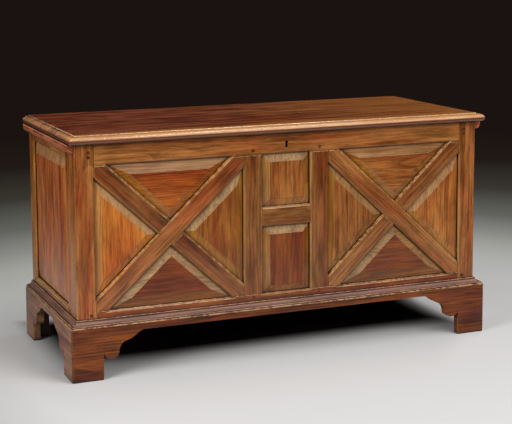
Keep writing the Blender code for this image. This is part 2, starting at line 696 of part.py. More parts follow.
def rear_bracket(side):
    """The plain board of a back foot, swept out to the case at its top."""
    sign = {"left": -1, "right": 1}[side]
    outer = HALF_WIDTH
    edge = HALF_WIDTH + BRACKET_PROJECTION - REAR_BRACKET_WIDTH
    sweep = quarter((edge - REAR_BRACKET_RADIUS, FLOOR_TO_CASE - REAR_BRACKET_RADIUS),
                    (REAR_BRACKET_RADIUS, REAR_BRACKET_RADIUS), 0)
    outline = [(outer, 0.0), (edge, 0.0), *sweep, (outer, FLOOR_TO_CASE)]
    mesh = prism([(sign * x, z) for x, z in outline], CASE_BACK_Y - REAR_BRACKET_THICKNESS, CASE_BACK_Y)
    add(f"rear_{side}_foot_bracket", mesh, FOOT_WOOD)


def foot_blocks(side):
    """The blocks in the corners of the feet, which carry the case."""
    sign = {"left": -1, "right": 1}[side]
    x0, x1 = sorted((sign * HALF_WIDTH, sign * (HALF_WIDTH - FOOT_BLOCK_SIZE)))
    rear = CASE_BACK_Y - REAR_BRACKET_THICKNESS - FIT
    for place, y0 in (("front", CASE_FRONT_Y), ("rear", rear - FOOT_BLOCK_SIZE)):
        add(f"{place}_{side}_foot_block", box(x0, x1, y0, y0 + FOOT_BLOCK_SIZE, 0, FLOOR_TO_CASE),
            HIDDEN_WOOD)


# The lid


def lid_board():
    """The lid, with a thumb moulding worked on its front and both ends."""
    thumb_z = LID_THICKNESS - LID_THUMB_STEP - LID_THUMB_DROP
    curve = quarter((LID_THUMB_WIDTH, thumb_z), (LID_THUMB_WIDTH, LID_THUMB_DROP), pi / 2)[::-1]
    profile = [(LID_UNDER_CHAMFER, 0.0), (0.0, LID_UNDER_CHAMFER), *curve,
               (LID_THUMB_WIDTH + LID_THUMB_STEP / 2, LID_THICKNESS)]
    loops = []
    for inset, z in profile:
        x = HALF_WIDTH + LID_SIDE_OVERHANG - inset
        y = CASE_FRONT_Y - LID_FRONT_OVERHANG + inset
        height = LID_BOTTOM_Z + z
        loops.append([(-x, y, height), (x, y, height), (x, CASE_BACK_Y, height),
                      (-x, CASE_BACK_Y, height)])
    return add("lid_board", closed_mesh(loops), LID_WOOD, origin=HINGE_AXIS, smooth=True)


def lid_cleat(side):
    """The moulded batten under one end of the lid, outside the case."""
    sign = {"left": -1, "right": 1}[side]
    width = LID_SIDE_OVERHANG - FIT
    inner = CLEAT_CLEARANCE
    top, bottom = -FIT, -CLEAT_HEIGHT
    nose_top = top - CLEAT_TOP_ROUND
    nose_bottom = nose_top - CLEAT_NOSE_HEIGHT
    upper = quarter((width - CLEAT_TOP_ROUND, nose_top), (CLEAT_TOP_ROUND, CLEAT_TOP_ROUND), 0)[::-1]
    lower = quarter((CLEAT_FOOT_WIDTH, nose_bottom), (width - CLEAT_FOOT_WIDTH, nose_bottom - bottom),
                    1.5 * pi)[::-1]
    profile = [(inner, top), *upper, *lower, (inner, bottom)]
    outline = [(sign * (HALF_WIDTH + p), LID_BOTTOM_Z + z) for p, z in profile]
    mesh = prism(outline, CASE_FRONT_Y + CLEAT_SETBACK, CASE_BACK_Y)
    add(side + "_lid_cleat", mesh, LID_WOOD, origin=HINGE_AXIS, smooth=True)


# Hinges


def knuckle_spans(first):
    """(start, end) along x of every second knuckle, from the first or the second."""
    pitch = HINGE_WIDTH / HINGE_KNUCKLES
    return [(-HINGE_WIDTH / 2 + i * pitch + KNUCKLE_GAP / 2,
             -HINGE_WIDTH / 2 + (i + 1) * pitch - KNUCKLE_GAP / 2)
            for i in range(first, HINGE_KNUCKLES, 2)]


def hinge_leaf(name, x, above, host):
    """A leaf let into the lid or into the back rail, with its knuckles round the pin."""
    axis = HINGE_AXIS + Vector((x, 0, 0))
    sign = 1 if above else -1
    half = HINGE_WIDTH / 2
    z0, z1 = sorted((sign * FIT / 2, sign * (FIT / 2 + LEAF_THICKNESS)))
    start_y = -BARREL_SETBACK - LEAF_LENGTH
    plate_end = -BARREL_RADIUS - PIN_CLEARANCE
    bore_radius = PIN_RADIUS + PIN_CLEARANCE
    wall_middle = -(BARREL_RADIUS + bore_radius) / 2
    leaf = add(name, box(-half, half, start_y, plate_end, z0, z1), IRON, origin=(0, 0, 0), smooth=True)
    leaf.location = axis

    def tool(part, mesh):
        made = cutter(f"{name}_{part}", mesh)
        made.location += axis
        return made

    for i, (x0, x1) in enumerate(knuckle_spans(1 if above else 0)):
        arm = box(x0, x1, plate_end - LEAF_THICKNESS, wall_middle, z0, z1)
        join(leaf, tool(f"arm_{i}", arm))
        join(leaf, tool(f"knuckle_{i}", prism(round_outline(BARREL_RADIUS), x0, x1, "X")))
    cut([leaf], tool("bore", prism(round_outline(bore_radius), -HINGE_WIDTH, HINGE_WIDTH, "X")))
    low, high = sorted((-sign * LEAF_THICKNESS, sign * (LEAF_THICKNESS + 1.5 * FIT)))
    recess = box(-half - FIT, half + FIT, start_y - FIT, BARREL_RADIUS, low, high)
    cut([host], tool("recess", recess))


def hinge(side, lid, back_rail):
    x = {"left": -1, "right": 1}[side] * (HALF_WIDTH - HINGE_INSET)
    hinge_leaf(side + "_hinge_lid_leaf", x, True, lid)
    hinge_leaf(side + "_hinge_case_leaf", x, False, back_rail)
    half = HINGE_WIDTH / 2
    pin = add(side + "_hinge_pin", prism(round_outline(PIN_RADIUS), -half, half, "X"), IRON,
              origin=(0, 0, 0), smooth=True)
    pin.location = HINGE_AXIS + Vector((x, 0, 0))


# Lock


def keyhole_outline(ease):
    """A round with a slot below it that widens to its foot, on the chest's middle, eased to each side."""
    radius = KEYHOLE_RADIUS + ease
    half_neck, half_foot = KEYHOLE_NECK / 2 + ease, KEYHOLE_FOOT / 2 + ease
    start = -pi / 2 + half_neck / radius
    turn = 2 * (pi - half_neck / radius)
    steps = 2 * CURVE_STEPS
    points = [(radius * cos(start + turn * i / steps),
               KEYHOLE_Z + radius * sin(start + turn * i / steps)) for i in range(steps + 1)]
    foot = KEYHOLE_Z - KEYHOLE_DROP
    return [*points, (-half_foot, foot), (half_foot, foot)]


def bolt_box(x0, x1, gap):
    """The box that the bolt fills between two places along x, and gap more on its four sides."""
    reach_y, reach_z = BOLT_DEPTH / 2 + gap, BOLT_HEIGHT / 2 + gap
    return box(x0, x1, LOCK_MIDDLE - reach_y, LOCK_MIDDLE + reach_y, BOLT_Z - reach_z, BOLT_Z + reach_z)


def staple_box(gap, z0, z1):
    """The box that the staple's loop fills between two heights, and gap more on its four sides."""
    reach_x = STAPLE_THICKNESS / 2 + gap
    reach_y = BOLT_DEPTH / 2 + STAPLE_CLEARANCE + STAPLE_WALL + gap
    return box(STAPLE_X - reach_x, STAPLE_X + reach_x, LOCK_MIDDLE - reach_y, LOCK_MIDDLE + reach_y, z0, z1)


def lock(front, top_rail):
    """The lock, hung behind the top rail by its selvedge, and its bolt, drawn back."""
    half, wall = LOCK_WIDTH / 2, LOCK_WALL
    top, bottom = LOCK_TOP_Z, LOCK_TOP_Z - LOCK_HEIGHT
    selvedge_y = LOCK_FRONT - SELVEDGE_DEPTH
    keyhole = cutter("keyhole", prism(keyhole_outline(0), -FRAME_THICKNESS, LOCK_MIDDLE), front)
    worn_keyhole = prism(keyhole_outline(KEYHOLE_WEAR), -FRAME_THICKNESS, LOCK_MIDDLE)
    recess = box(-half - FIT, half + FIT, selvedge_y - FIT, LOCK_BACK, top - wall - FIT, top + wall)
    cut([top_rail], cutter("worn_keyhole", worn_keyhole, front))
    cut([top_rail], cutter("lock_recess", recess, front))

    case = add("lock_case", box(-half, half, LOCK_FRONT, LOCK_BACK, bottom, top), IRON, front)
    selvedge = box(-half, half, selvedge_y, LOCK_FRONT + wall, top - wall, top)
    join(case, cutter("lock_selvedge", selvedge, front))
    hollow = box(-half + wall, half - wall, LOCK_FRONT + wall, LOCK_BACK - wall, bottom + wall, top - wall)
    cut([case], cutter("lock_hollow", hollow, front))
    for side, x in (("left", LEFT_GUIDE_X), ("right", RIGHT_GUIDE_X)):
        guide = box(x - GUIDE_WIDTH / 2, x + GUIDE_WIDTH / 2, LOCK_FRONT + wall / 2, LOCK_BACK - wall / 2,
                    BOLT_Z - GUIDE_HEIGHT / 2, BOLT_Z + GUIDE_HEIGHT / 2)
        join(case, cutter(side + "_bolt_guide", guide, front))
    channel = bolt_box(LEFT_GUIDE_X - GUIDE_WIDTH, RIGHT_GUIDE_X + GUIDE_WIDTH, FIT)
    slot = staple_box(STAPLE_CLEARANCE, top - 2 * wall, top + wall)
    cut([case], cutter("bolt_channel", channel, front))
    cut([case], keyhole)
    cut([case], cutter("staple_slot", slot, front))

    bolt = add("lock_bolt", bolt_box(BOLT_END_X - BOLT_LENGTH, BOLT_END_X, 0), IRON, front)
    talon = box(-TALON_WIDTH, 0, LOCK_FRONT, LOCK_BACK, BOLT_Z - BOLT_HEIGHT,
                BOLT_Z - BOLT_HEIGHT / 2 + TALON_HEIGHT)
    cut([bolt], cutter("bolt_talon", talon, front))


def lid_staple(lid, front):
    """A plate let into the lid's underside, and the loop below it that takes the bolt."""
    half, reach = STAPLE_PLATE_WIDTH / 2, STAPLE_PLATE_DEPTH / 2
    y0, y1 = LOCK_MIDDLE - reach, LOCK_MIDDLE + reach
    plate_top = LID_BOTTOM_Z + STAPLE_PLATE_THICKNESS
    eye_y, eye_z = BOLT_DEPTH / 2 + STAPLE_CLEARANCE, BOLT_HEIGHT / 2 + STAPLE_CLEARANCE
    staple = add("lid_staple", box(-half, half, y0, y1, LID_BOTTOM_Z, plate_top), IRON, front,
                 origin=HINGE_AXIS - front.location)
    loop = staple_box(0, BOLT_Z - eye_z - STAPLE_WALL, (LID_BOTTOM_Z + plate_top) / 2)
    join(staple, cutter("staple_loop", loop, front))
    eye = box(STAPLE_X - STAPLE_THICKNESS, STAPLE_X + STAPLE_THICKNESS, LOCK_MIDDLE - eye_y,
              LOCK_MIDDLE + eye_y, BOLT_Z - eye_z, BOLT_Z + eye_z)
    cut([staple], cutter("staple_eye", eye, front))
    recess = box(-half - FIT, half + FIT, y0 - FIT, y1 + FIT, CASE_TOP_Z - STAPLE_PLATE_THICKNESS,
                 plate_top + FIT)
    cut([lid], cutter("staple_recess", recess, front))


def build():
    clear_scene()
    posts = {
        f"{place}_{side}": post(f"{place}_{side}_post", sign, place == "front")
        for place in ("front", "rear") for side, sign in (("left", -1), ("right", 1))
    }
    front, top_rail, bottom_rail = case_front(posts)
    end_rails = [case_end(side, posts) for side in ("left", "right")]
    back_top_rail, back_bottom_rail = case_back(posts)
    bottom_boards([bottom_rail, back_bottom_rail, *end_rails])
    base_front()
    lid = lid_board()
    for side in ("left", "right"):
        base_end(side)
        rear_bracket(side)
        foot_blocks(side)
        lid_cleat(side)
        hinge(side, lid, back_top_rail)
    lock(front, top_rail)
    lid_staple(lid, front)


build()
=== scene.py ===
import json
import math

import bmesh
import bpy
from bpy.props import FloatProperty, FloatVectorProperty, PointerProperty
from mathutils import Matrix, Vector

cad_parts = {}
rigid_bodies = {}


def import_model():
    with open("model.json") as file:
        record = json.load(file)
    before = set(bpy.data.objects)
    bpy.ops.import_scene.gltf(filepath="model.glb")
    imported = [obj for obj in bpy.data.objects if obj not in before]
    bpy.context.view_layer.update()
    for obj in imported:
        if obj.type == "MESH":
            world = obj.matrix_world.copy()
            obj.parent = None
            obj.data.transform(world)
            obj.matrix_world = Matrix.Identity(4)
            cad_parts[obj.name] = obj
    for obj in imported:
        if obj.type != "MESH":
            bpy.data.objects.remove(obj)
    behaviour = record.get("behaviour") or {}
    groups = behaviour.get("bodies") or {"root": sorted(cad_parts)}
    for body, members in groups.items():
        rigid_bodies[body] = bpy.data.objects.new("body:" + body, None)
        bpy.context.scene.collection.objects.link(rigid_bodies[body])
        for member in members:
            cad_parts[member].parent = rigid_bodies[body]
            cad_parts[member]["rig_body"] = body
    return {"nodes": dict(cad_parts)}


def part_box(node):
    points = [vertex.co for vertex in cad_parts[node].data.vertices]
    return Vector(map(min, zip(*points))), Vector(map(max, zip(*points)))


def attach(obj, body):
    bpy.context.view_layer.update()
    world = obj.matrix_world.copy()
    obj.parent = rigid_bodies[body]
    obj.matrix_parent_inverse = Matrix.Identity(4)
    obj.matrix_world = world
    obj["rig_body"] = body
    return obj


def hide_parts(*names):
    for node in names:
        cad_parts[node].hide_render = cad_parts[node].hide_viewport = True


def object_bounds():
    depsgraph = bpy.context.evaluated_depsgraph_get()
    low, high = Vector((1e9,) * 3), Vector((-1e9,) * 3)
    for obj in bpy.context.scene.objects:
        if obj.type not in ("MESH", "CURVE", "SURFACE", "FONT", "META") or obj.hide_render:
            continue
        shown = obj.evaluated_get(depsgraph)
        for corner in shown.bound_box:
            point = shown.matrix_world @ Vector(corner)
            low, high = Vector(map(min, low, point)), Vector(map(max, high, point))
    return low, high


bl_info = {
    "name": "Blanket chest",
    "version": (1, 0, 0),
    "blender": (4, 5, 0),
    "location": "View3D > Sidebar > Chest",
    "description": "Worn pine boards, pegs, iron and a studio for a joined blanket chest",
    "category": "Object",
}

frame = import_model()
cad_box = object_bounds()
board_numbers = {node: number for number, node in enumerate(sorted(frame["nodes"]))}

X = Vector((1, 0, 0))
Y = Vector((0, 1, 0))
Z = Vector((0, 0, 1))

# The braces run from corner to corner of the opening between a front post and its muntin.
opening_low = Vector((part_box("front_left_post")[1].x, 0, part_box("front_bottom_rail")[1].z))
opening_high = Vector((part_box("front_left_muntin")[0].x, 0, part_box("front_top_rail")[0].z))
RISING = (opening_high - opening_low).normalized()
FALLING = Vector((RISING.x, 0, -RISING.z))

# How the solids are merged, rounded and shaded, in metres and radians.
MERGE_DISTANCE = 1e-5
FLAT_ANGLE = math.radians(0.6)
CORNER_ANGLE = math.radians(34)
SHADE_ANGLE = math.radians(50)
# A corner shorter than this many softnesses stays sharp.
SHORTEST_CORNER = 5
# The cosine of 5 degrees: a face that leans less than that is taken as flat.
FLAT_COSINE = 0.996
# The share of a whole that spreads numbered boards most evenly over it.
GOLDEN_SHARE = 0.618034

# Pegs, screws and nails, in metres, or as shares of a radius, a depth or a hinge leaf's length.
PEG_DEPTH = 0.006
PEG_TAPER = 0.94
# The muntins' pegs sit this much nearer to the shoulders.
MUNTIN_PEG_SHIFT = 0.002
SCREW_DEPTH = 0.0014
SCREW_PROUD = 0.00008
SCREW_TAPER = 0.7
SCREW_SLOT_HALF_WIDTH = 0.17
SCREW_SLOT_DEPTH = 0.45
SCREW_INSET = 0.0095
SCREW_SHARES = (0.16, 0.5, 0.84)
# The part of a hinge leaf, counted from its inner edge, that is surely flat.
LEAF_PLATE = 0.008
NAIL_INSET = 0.008
NAIL_INSET_TOP = 0.012
NAIL_FLATNESS = 0.4

# The camera that took the photo, found from the chest's corners, in metres, radians and millimetres.
CAMERA_PLACE = (-1.51814, -3.67524, 1.13866)
CAMERA_PAN = -0.39392
CAMERA_DOWN = 0.12404
CAMERA_ROLL = -0.00566
CAMERA_LENS = 95.447
CAMERA_SENSOR = 36
CAMERA_SHIFT = -0.1797

# The studio, in metres.
FLOOR_RADIUS = 40
CHEST_MIDDLE = (0, 0, 0.3)
PAPER_CENTRE = (0.2, -0.2, 0)
PAPER_REACH = 5
# The painted shadow under the chest has the chest's outline, moved back to where the camera looks
# under the chest. It is black from 9 cm inside that outline, and ends 3 cm outside it.
PAINTED_SHADOW_SHIFT = 0.13
PAINTED_SHADOW_WHOLE = -0.09
PAINTED_SHADOW_END = 0.03


def linear(code):
    """The linear colour, with alpha, of an sRGB hex code."""
    parts = [int(code[i:i + 2], 16) / 255 for i in (1, 3, 5)]
    return [p / 12.92 if p <= 0.04045 else ((p + 0.055) / 1.055) ** 2.4 for p in parts] + [1.0]


def tint(name, code, text):
    """A colour property whose default is an sRGB hex code."""
    return FloatVectorProperty(
        name=name, description=text, subtype="COLOR", size=4, min=0, max=1, default=linear(code)
    )


def length(name, size, text):
    """A length property in metres."""
    return FloatProperty(
        name=name, description=text, default=size, min=0, precision=5, unit="LENGTH"
    )


def power(name, watts, text):
    """A lamp's power in watts."""
    return FloatProperty(name=name, description=text, default=watts, min=0, unit="POWER")


class ChestSizes(bpy.types.PropertyGroup):
    frame_softness: length("Frame softness", 0.0013, "How far rubbed corners of the frame are rounded")
    brace_softness: length("Brace softness", 0.00208, "How far rubbed corners of the braces are rounded")
    panel_softness: length("Panel softness", 0.0004, "How far rubbed corners of the panels are rounded")
    lid_softness: length("Lid softness", 0.0022, "How far rubbed corners of the lid are rounded")
    cleat_softness: length("Cleat softness", 0.0011, "How far rubbed corners of the cleats are rounded")
    moulding_softness: length("Moulding softness", 0.00135, "How far the moulding's corners are rounded")
    base_softness: length("Base softness", 0.0030, "How far kicked corners of the base are rounded")
    peg_radius: length("Peg radius", 0.0050, "Radius of a whittled draw-bore peg")
    peg_proud: length("Peg height", 0.0005, "How far the pegs stand out of the shrunken wood")
    peg_inset: length("Peg inset", 0.015, "Distance from a joint's shoulder to its pegs")
    peg_pitch: length("Peg pitch", 0.013, "Distance between the two pegs of a joint")
    screw_radius: length("Screw radius", 0.0034, "Radius of a hinge screw's head")
    nail_radius: length("Nail radius", 0.0038, "Radius of a lock nail's head")


class ChestColours(bpy.types.PropertyGroup):
    frame_pale: tint("Frame pale", "#a26635", "Spring wood of rails and stiles")
    frame_deep: tint("Frame deep", "#693f19", "Summer wood of rails and stiles")
    brace_pale: tint("Brace pale", "#96592b", "Spring wood of the left braces")
    brace_deep: tint("Brace deep", "#583319", "Summer wood of the left braces")
    red_pale: tint("Red pale", "#8c4818", "Spring wood of the reddest panels and the bottom rail")
    red_deep: tint("Red deep", "#5b290d", "Summer wood of the reddest panels and the bottom rail")
    gold_pale: tint("Gold panel pale", "#ad6a27", "Spring wood of the panels that kept least stain")
    gold_deep: tint("Gold panel deep", "#7d4314", "Summer wood of the panels that kept least stain")
    tan_pale: tint("Tan panel pale", "#a1652e", "Spring wood of the other front panels")
    tan_deep: tint("Tan panel deep", "#673816", "Summer wood of the other front panels")
    end_pale: tint("End panel pale", "#ba6e3d", "Spring wood of the end panels")
    end_deep: tint("End panel deep", "#764021", "Summer wood of the end panels")
    lid_pale: tint("Lid pale", "#c86f4a", "Spring wood of the lid")
    lid_deep: tint("Lid deep", "#58271a", "Summer wood of the lid")
    # The lid's gold is sun-bleached wood and a painted sheen, at its right end and along its front edge.
    lid_gold_and_sheen: tint("Lid gold", "#cc7f3a", "Sun-bleached wood at the right end of the lid")
    base_pale: tint("Base pale", "#7c3c06", "Spring wood of the moulding, the feet and the pegs")
    base_deep: tint("Base deep", "#381402", "Summer wood of the moulding, the feet and the pegs")
    end_base_pale: tint("End base pale", "#8d644a", "Spring wood of the brackets at the ends")
    end_base_deep: tint("End base deep", "#493021", "Summer wood of the brackets at the ends")
    bare_pale: tint("Bare pale", "#6e5a42", "Spring wood of boards that never had a finish")
    bare_deep: tint("Bare deep", "#46382a", "Summer wood of boards that never had a finish")
    stain: tint("Stain", "#d6a184", "How the red stain tints the wood where it sank in")
    # The rubbed colour is worn wood and a painted highlight on rounded corners.
    rubbed_and_lit: tint("Rubbed wood", "#e4c49c", "Wood where hands have worn the finish thin")
    # The golden and dulled colours paint light on the slopes along with dust: golden where the coat is
    # thin, as on slopes that face left, and dulled where it is thick, as on slopes that face up.
    golden_lit: tint("Golden wood", "#b07a18", "Wood on the slopes that light has turned yellow")
    dulled_and_lit: tint("Dulled wood", "#ad9068", "Wood dulled by dust and daylight on the bevels")
    # The cream colour is worn wood and a painted highlight on the lid's nose and the cleats.
    worn_cream_highlight: tint("Cream", "#cea878", "Wood bleached and polished by hands on the lid's nose")
    # The lilac colour is a painted cool sheen on the moulding's slopes, over their dust.
    lilac_sheen_and_dust: tint("Lilac", "#a88c80", "Cool dust on the slopes of the base moulding")
    # The grime colour is wax grime and the painted shade of nooks, undersides and slopes that face down or
    # right.
    grime_and_shade: tint("Grime", "#1c0f08", "Wax and dust packed into corners")
    iron: tint("Iron", "#37322e", "Forge-blackened iron")
    rust: tint("Rust", "#5b3722", "Dry brown rust on the iron")


class ChestStudio(bpy.types.PropertyGroup):
    floor: tint("Floor", "#d8d8d8", "Seamless paper near the chest")
    backdrop: tint("Backdrop", "#1b1311", "Unlit studio beyond the paper")
    # A black painted shadow under the chest, where the camera looks under it.
    painted_shadow: tint("Velvet", "#120c0a", "Black velvet under the chest")
    key_power: power("Key", 52, "Power of the high lamp at the front right")
    strip_power: power("Strip", 75, "Power of the low front strip")
    side_power: power("Side", 126, "Power of the lamp at the left")
    top_power: power("Top", 40, "Power of the long lamp overhead")
    fill: FloatProperty(
        name="Fill", description="Strength of the plain light all round", default=0.1, min=0
    )


def colour(name):
    """The present value of one of the chest's colours."""
    return list(getattr(bpy.context.scene.chest_colours, name))


def add(tree, kind, inputs=(), stops=(), **settings):
    """Adds one shader node. A socket in inputs is linked, a value is set, and stops are a colour ramp's."""
    node = tree.nodes.new("ShaderNode" + kind)
    for name, value in settings.items():
        setattr(node, name, value)
    for name, value in dict(inputs).items():
        if isinstance(value, bpy.types.NodeSocket):
            tree.links.new(value, node.inputs[name])
        else:
            node.inputs[name].default_value = value
    elements = node.color_ramp.elements if stops else ()
    for index, (place, tone) in enumerate(stops):
        stop = elements[index] if index < 2 else elements.new(place)
        stop.position = place
        stop.color = tone
    return node


def new_material(name):
    """A material with an empty node tree."""
    material = bpy.data.materials.new(name)
    material.use_nodes = True
    material.node_tree.nodes.clear()
    return material


def board_figure(tree, grain, ring, broad):
    """The rings, bands and fibre of a board, and the figure that they and its blotches add up to."""
    # A trunk sways over half a metre or so, and that draws its straight rings out into pointed loops.
    slow = add(tree, "Mapping", {"Vector": grain, "Scale": (1.9, 9, 9)})
    sway = add(tree, "TexNoise", {"Vector": slow.outputs[0], "Scale": 1, "Detail": 2})
    centred = add(
        tree, "VectorMath", {0: sway.outputs["Color"], 1: (0.5, 0.5, 0.5)}, operation="SUBTRACT"
    )
    bent = add(
        tree, "VectorMath", {0: centred.outputs[0], 1: (0, 0.035, 0.035), 2: grain},
        operation="MULTIPLY_ADD",
    )
    # Rings are 2 to 4 mm apart in the real boards. They are drawn 6 mm apart, and 12 on the lid, so
    # that they show.
    rings = add(
        tree, "TexWave", {"Vector": bent.outputs[0], "Scale": math.tau / (20 * ring)},
        wave_type="RINGS", rings_direction="X", wave_profile="SAW",
    )
    # Bands of growth, about 8 mm wide and 250 mm long.
    band = add(tree, "Mapping", {"Vector": bent.outputs[0], "Scale": (4, 125 / broad, 125 / broad)})
    bands = add(tree, "TexNoise", {"Vector": band.outputs[0], "Scale": 1, "Detail": 3})
    # Streaks of fibre, about 3 mm wide and 60 mm long.
    across = 330 / broad ** 0.5
    streak = add(tree, "Mapping", {"Vector": grain, "Scale": (16, across, across)})
    fibre = add(
        tree, "TexNoise", {"Vector": streak.outputs[0], "Scale": 1, "Detail": 4, "Roughness": 0.6}
    )
    # Blotches of old finish, up to 40 mm wide and 120 mm long.
    across = 26 / min(broad, 1)
    cloud = add(tree, "Mapping", {"Vector": grain, "Scale": (8, across, across)})
    mottle = add(
        tree, "TexNoise", {"Vector": cloud.outputs[0], "Scale": 1, "Detail": 5, "Roughness": 0.6}
    )
    figure = add(tree, "Math", {0: rings.outputs["Fac"], 1: 0.08, 2: 0.0}, operation="MULTIPLY_ADD")
    for source, share in ((bands, 0.30), (fibre, 0.26), (mottle, 0.36)):
        figure = add(
            tree, "Math", {0: source.outputs["Fac"], 1: share, 2: figure.outputs[0]},
            operation="MULTIPLY_ADD",
        )
    return figure.outputs[0], rings.outputs["Fac"], bands.outputs["Fac"], fibre.outputs["Fac"]


def stained(tree, grain, figure, pale, deep):
    """Spring and summer wood under the red stain."""
    ramp = add(tree, "ValToRGB", {"Fac": figure}, stops=((0.42, deep), (0.585, pale)))
    # The red stain sank in unevenly, in streaks about 60 mm wide and 400 mm long.
    soak = add(tree, "Mapping", {"Vector": grain, "Scale": (2.5, 16, 16), "Location": (3, 5, 7)})
    soaked = add(
        tree, "TexNoise", {"Vector": soak.outputs[0], "Scale": 1, "Detail": 4, "Roughness": 0.6}
    )
    share = add(tree, "MapRange", {"Value": soaked.outputs["Fac"], "From Min": 0.42, "From Max": 0.66})
    return add(
        tree, "Mix", {"Factor": share.outputs[0], "A": ramp.outputs["Color"], "B": colour("stain")},
        data_type="RGBA", blend_type="MULTIPLY",
    ).outputs["Result"]


def bleached_and_lit(tree, wood, bands, deep, gold, dust, wear):
    """The lid's wood, paler along its front edge and at its right end, as sun-bleached wood with a painted
    sheen, and darkened under its nose by painted shade.
    """
    place = add(tree, "SeparateXYZ", {0: add(tree, "TexCoord").outputs["Object"]})
    # The last 70 mm before the front edge count as if they lay up to 1.3 m further right.
    edge = add(tree, "MapRange", {"Value": place.outputs["Y"], "From Min": -0.19, "From Max": -0.26,
                                  "To Max": 1.3})
    along = add(tree, "Math", {0: place.outputs["X"], 1: edge.outputs[0]}, operation="ADD")
    # The bleaching and its painted sheen start in steps that follow the bands of growth.
    start = add(tree, "Math", {0: bands, 1: 2.2, 2: along.outputs[0]}, operation="MULTIPLY_ADD")
    share = add(
        tree, "MapRange", {"Value": start.outputs[0], "From Min": 0.95, "From Max": 1.7},
        interpolation_type="SMOOTHSTEP",
    )
    depth = add(tree, "Math", {0: share.outputs[0], 1: 0.75}, operation="MULTIPLY")
    wood = add(
        tree, "Mix", {"Factor": depth.outputs[0], "A": wood, "B": gold}, data_type="RGBA"
    ).outputs["Result"]
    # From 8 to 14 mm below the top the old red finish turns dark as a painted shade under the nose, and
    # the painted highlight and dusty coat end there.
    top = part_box("lid_board")[1].z
    under = add(tree, "MapRange", {"Value": place.outputs["Z"], "From Min": top - 0.008,
                                   "From Max": top - 0.014, "To Max": 0.92})
    wood = add(
        tree, "Mix", {"Factor": under.outputs[0], "A": wood, "B": deep}, data_type="RGBA"
    ).outputs["Result"]
    clear = add(tree, "Math", {0: 1, 1: under.outputs[0]}, operation="SUBTRACT")
    dust = add(tree, "Math", {0: dust, 1: clear.outputs[0]}, operation="MULTIPLY")
    wear = add(tree, "Math", {0: wear, 1: clear.outputs[0]}, operation="MULTIPLY")
    return wood, dust.outputs[0], wear.outputs[0]


def toned(tree, wood, grain, tone):
    """The wood with its pores, as pale or dark as its own board."""
    # Short dark pores, about 1.5 mm wide and 20 mm long.
    short = add(tree, "Mapping", {"Vector": grain, "Scale": (48, 640, 640)})
    pores = add(tree, "TexNoise", {"Vector": short.outputs[0], "Scale": 1, "Detail": 1})
    pore = add(tree, "MapRange", {"Value": pores.outputs["Fac"], "From Min": 0.58, "From Max": 0.74,
                                  "To Min": 1, "To Max": 0.5})
    level = add(tree, "Math", {0: tone, 1: 0.4, 2: 1.0}, operation="MULTIPLY_ADD")
    level = add(tree, "Math", {0: level.outputs[0], 1: pore.outputs[0]}, operation="MULTIPLY")
    return add(tree, "VectorMath", {0: wood, "Scale": level.outputs[0]}, operation="SCALE").outputs[0]


def filmed_with_dust_and_light(tree, wood, figure, dust, thin_colour, thick_colour):
    """The wood under a dusty coat and painted light on its slopes, of which less lies on the hard streaks.
    """
    dust_and_light_film = add(tree, "MapRange", {"Value": figure, "From Min": 0.42, "From Max": 0.58,
                                  "To Min": 0.5, "To Max": 1})
    dust_and_light_film = add(tree, "Math", {0: dust_and_light_film.outputs[0], 1: dust}, operation="MULTIPLY")
    thick = add(tree, "MapRange", {"Value": dust, "From Min": 0.4, "From Max": 0.6})
    sheen_haze = add(
        tree, "Mix", {"Factor": thick.outputs[0], "A": thin_colour, "B": thick_colour}, data_type="RGBA"
    )
    return add(
        tree, "Mix", {"Factor": dust_and_light_film.outputs[0], "A": wood, "B": sheen_haze.outputs["Result"]},
        data_type="RGBA",
    ).outputs["Result"]


def worn_lit_and_shaded(tree, wood, grain, wear, shade, nook):
    """The wood with worn corners and their painted highlight, and with painted shade and old wax in its
    nooks.
    """
    # Rubbed corners keep less of the stain and take a painted highlight, in nicks about 10 mm long.
    patch = add(tree, "TexNoise", {"Vector": grain, "Scale": 90, "Detail": 3})
    bare = add(tree, "MapRange", {"Value": patch.outputs["Fac"], "From Min": 0.44, "From Max": 0.56,
                                  "To Min": 0.1, "To Max": 1})
    bare = add(tree, "Math", {0: bare.outputs[0], 1: wear}, operation="MULTIPLY")
    wood = add(
        tree, "Mix", {"Factor": bare.outputs[0], "A": wood, "B": colour("rubbed_and_lit")}, data_type="RGBA"
    ).outputs["Result"]
    # Painted shade, with wax grime, darkens the last centimetres before a nook and every face that holds
    # painted shade, but not a fresh nick or its painted highlight.
    corner = add(tree, "AmbientOcclusion", {"Distance": nook}, samples=8)
    shade_and_grime = add(tree, "MapRange", {"Value": corner.outputs["AO"], "From Min": 0.45, "From Max": 0.93,
                                  "To Min": 1, "To Max": 0})
    shade_and_grime = add(tree, "Math", {0: shade_and_grime.outputs[0], 1: shade}, operation="MAXIMUM")
    shade_kept = add(tree, "MapRange", {"Value": bare.outputs[0], "From Max": 0.6, "To Min": 1,
                                   "To Max": 0.1})
    shade_and_grime = add(tree, "Math", {0: shade_and_grime.outputs[0], 1: shade_kept.outputs[0]}, operation="MULTIPLY")
    return add(
        tree, "Mix", {"Factor": shade_and_grime.outputs[0], "A": wood, "B": colour("grime_and_shade")}, data_type="RGBA"
    ).outputs["Result"]


def planed(tree, grain, fibre, rings):
    """The hollows that the plane left, about 40 mm wide, and the hard wood that stands a little proud."""
    wide = add(tree, "Mapping", {"Vector": grain, "Scale": (5, 22, 22)})
    hollow = add(tree, "TexNoise", {"Vector": wide.outputs[0], "Scale": 1, "Detail": 1})
    waves = add(tree, "Bump", {"Height": hollow.outputs["Fac"], "Distance": 0.004, "Strength": 0.2})
    relief = add(tree, "Math", {0: fibre, 1: 0.7, 2: rings}, operation="MULTIPLY_ADD")
    return add(
        tree, "Bump",
        {"Height": relief.outputs[0], "Distance": 0.0006, "Strength": 0.35, "Normal": waves.outputs[0]},
    ).outputs[0]


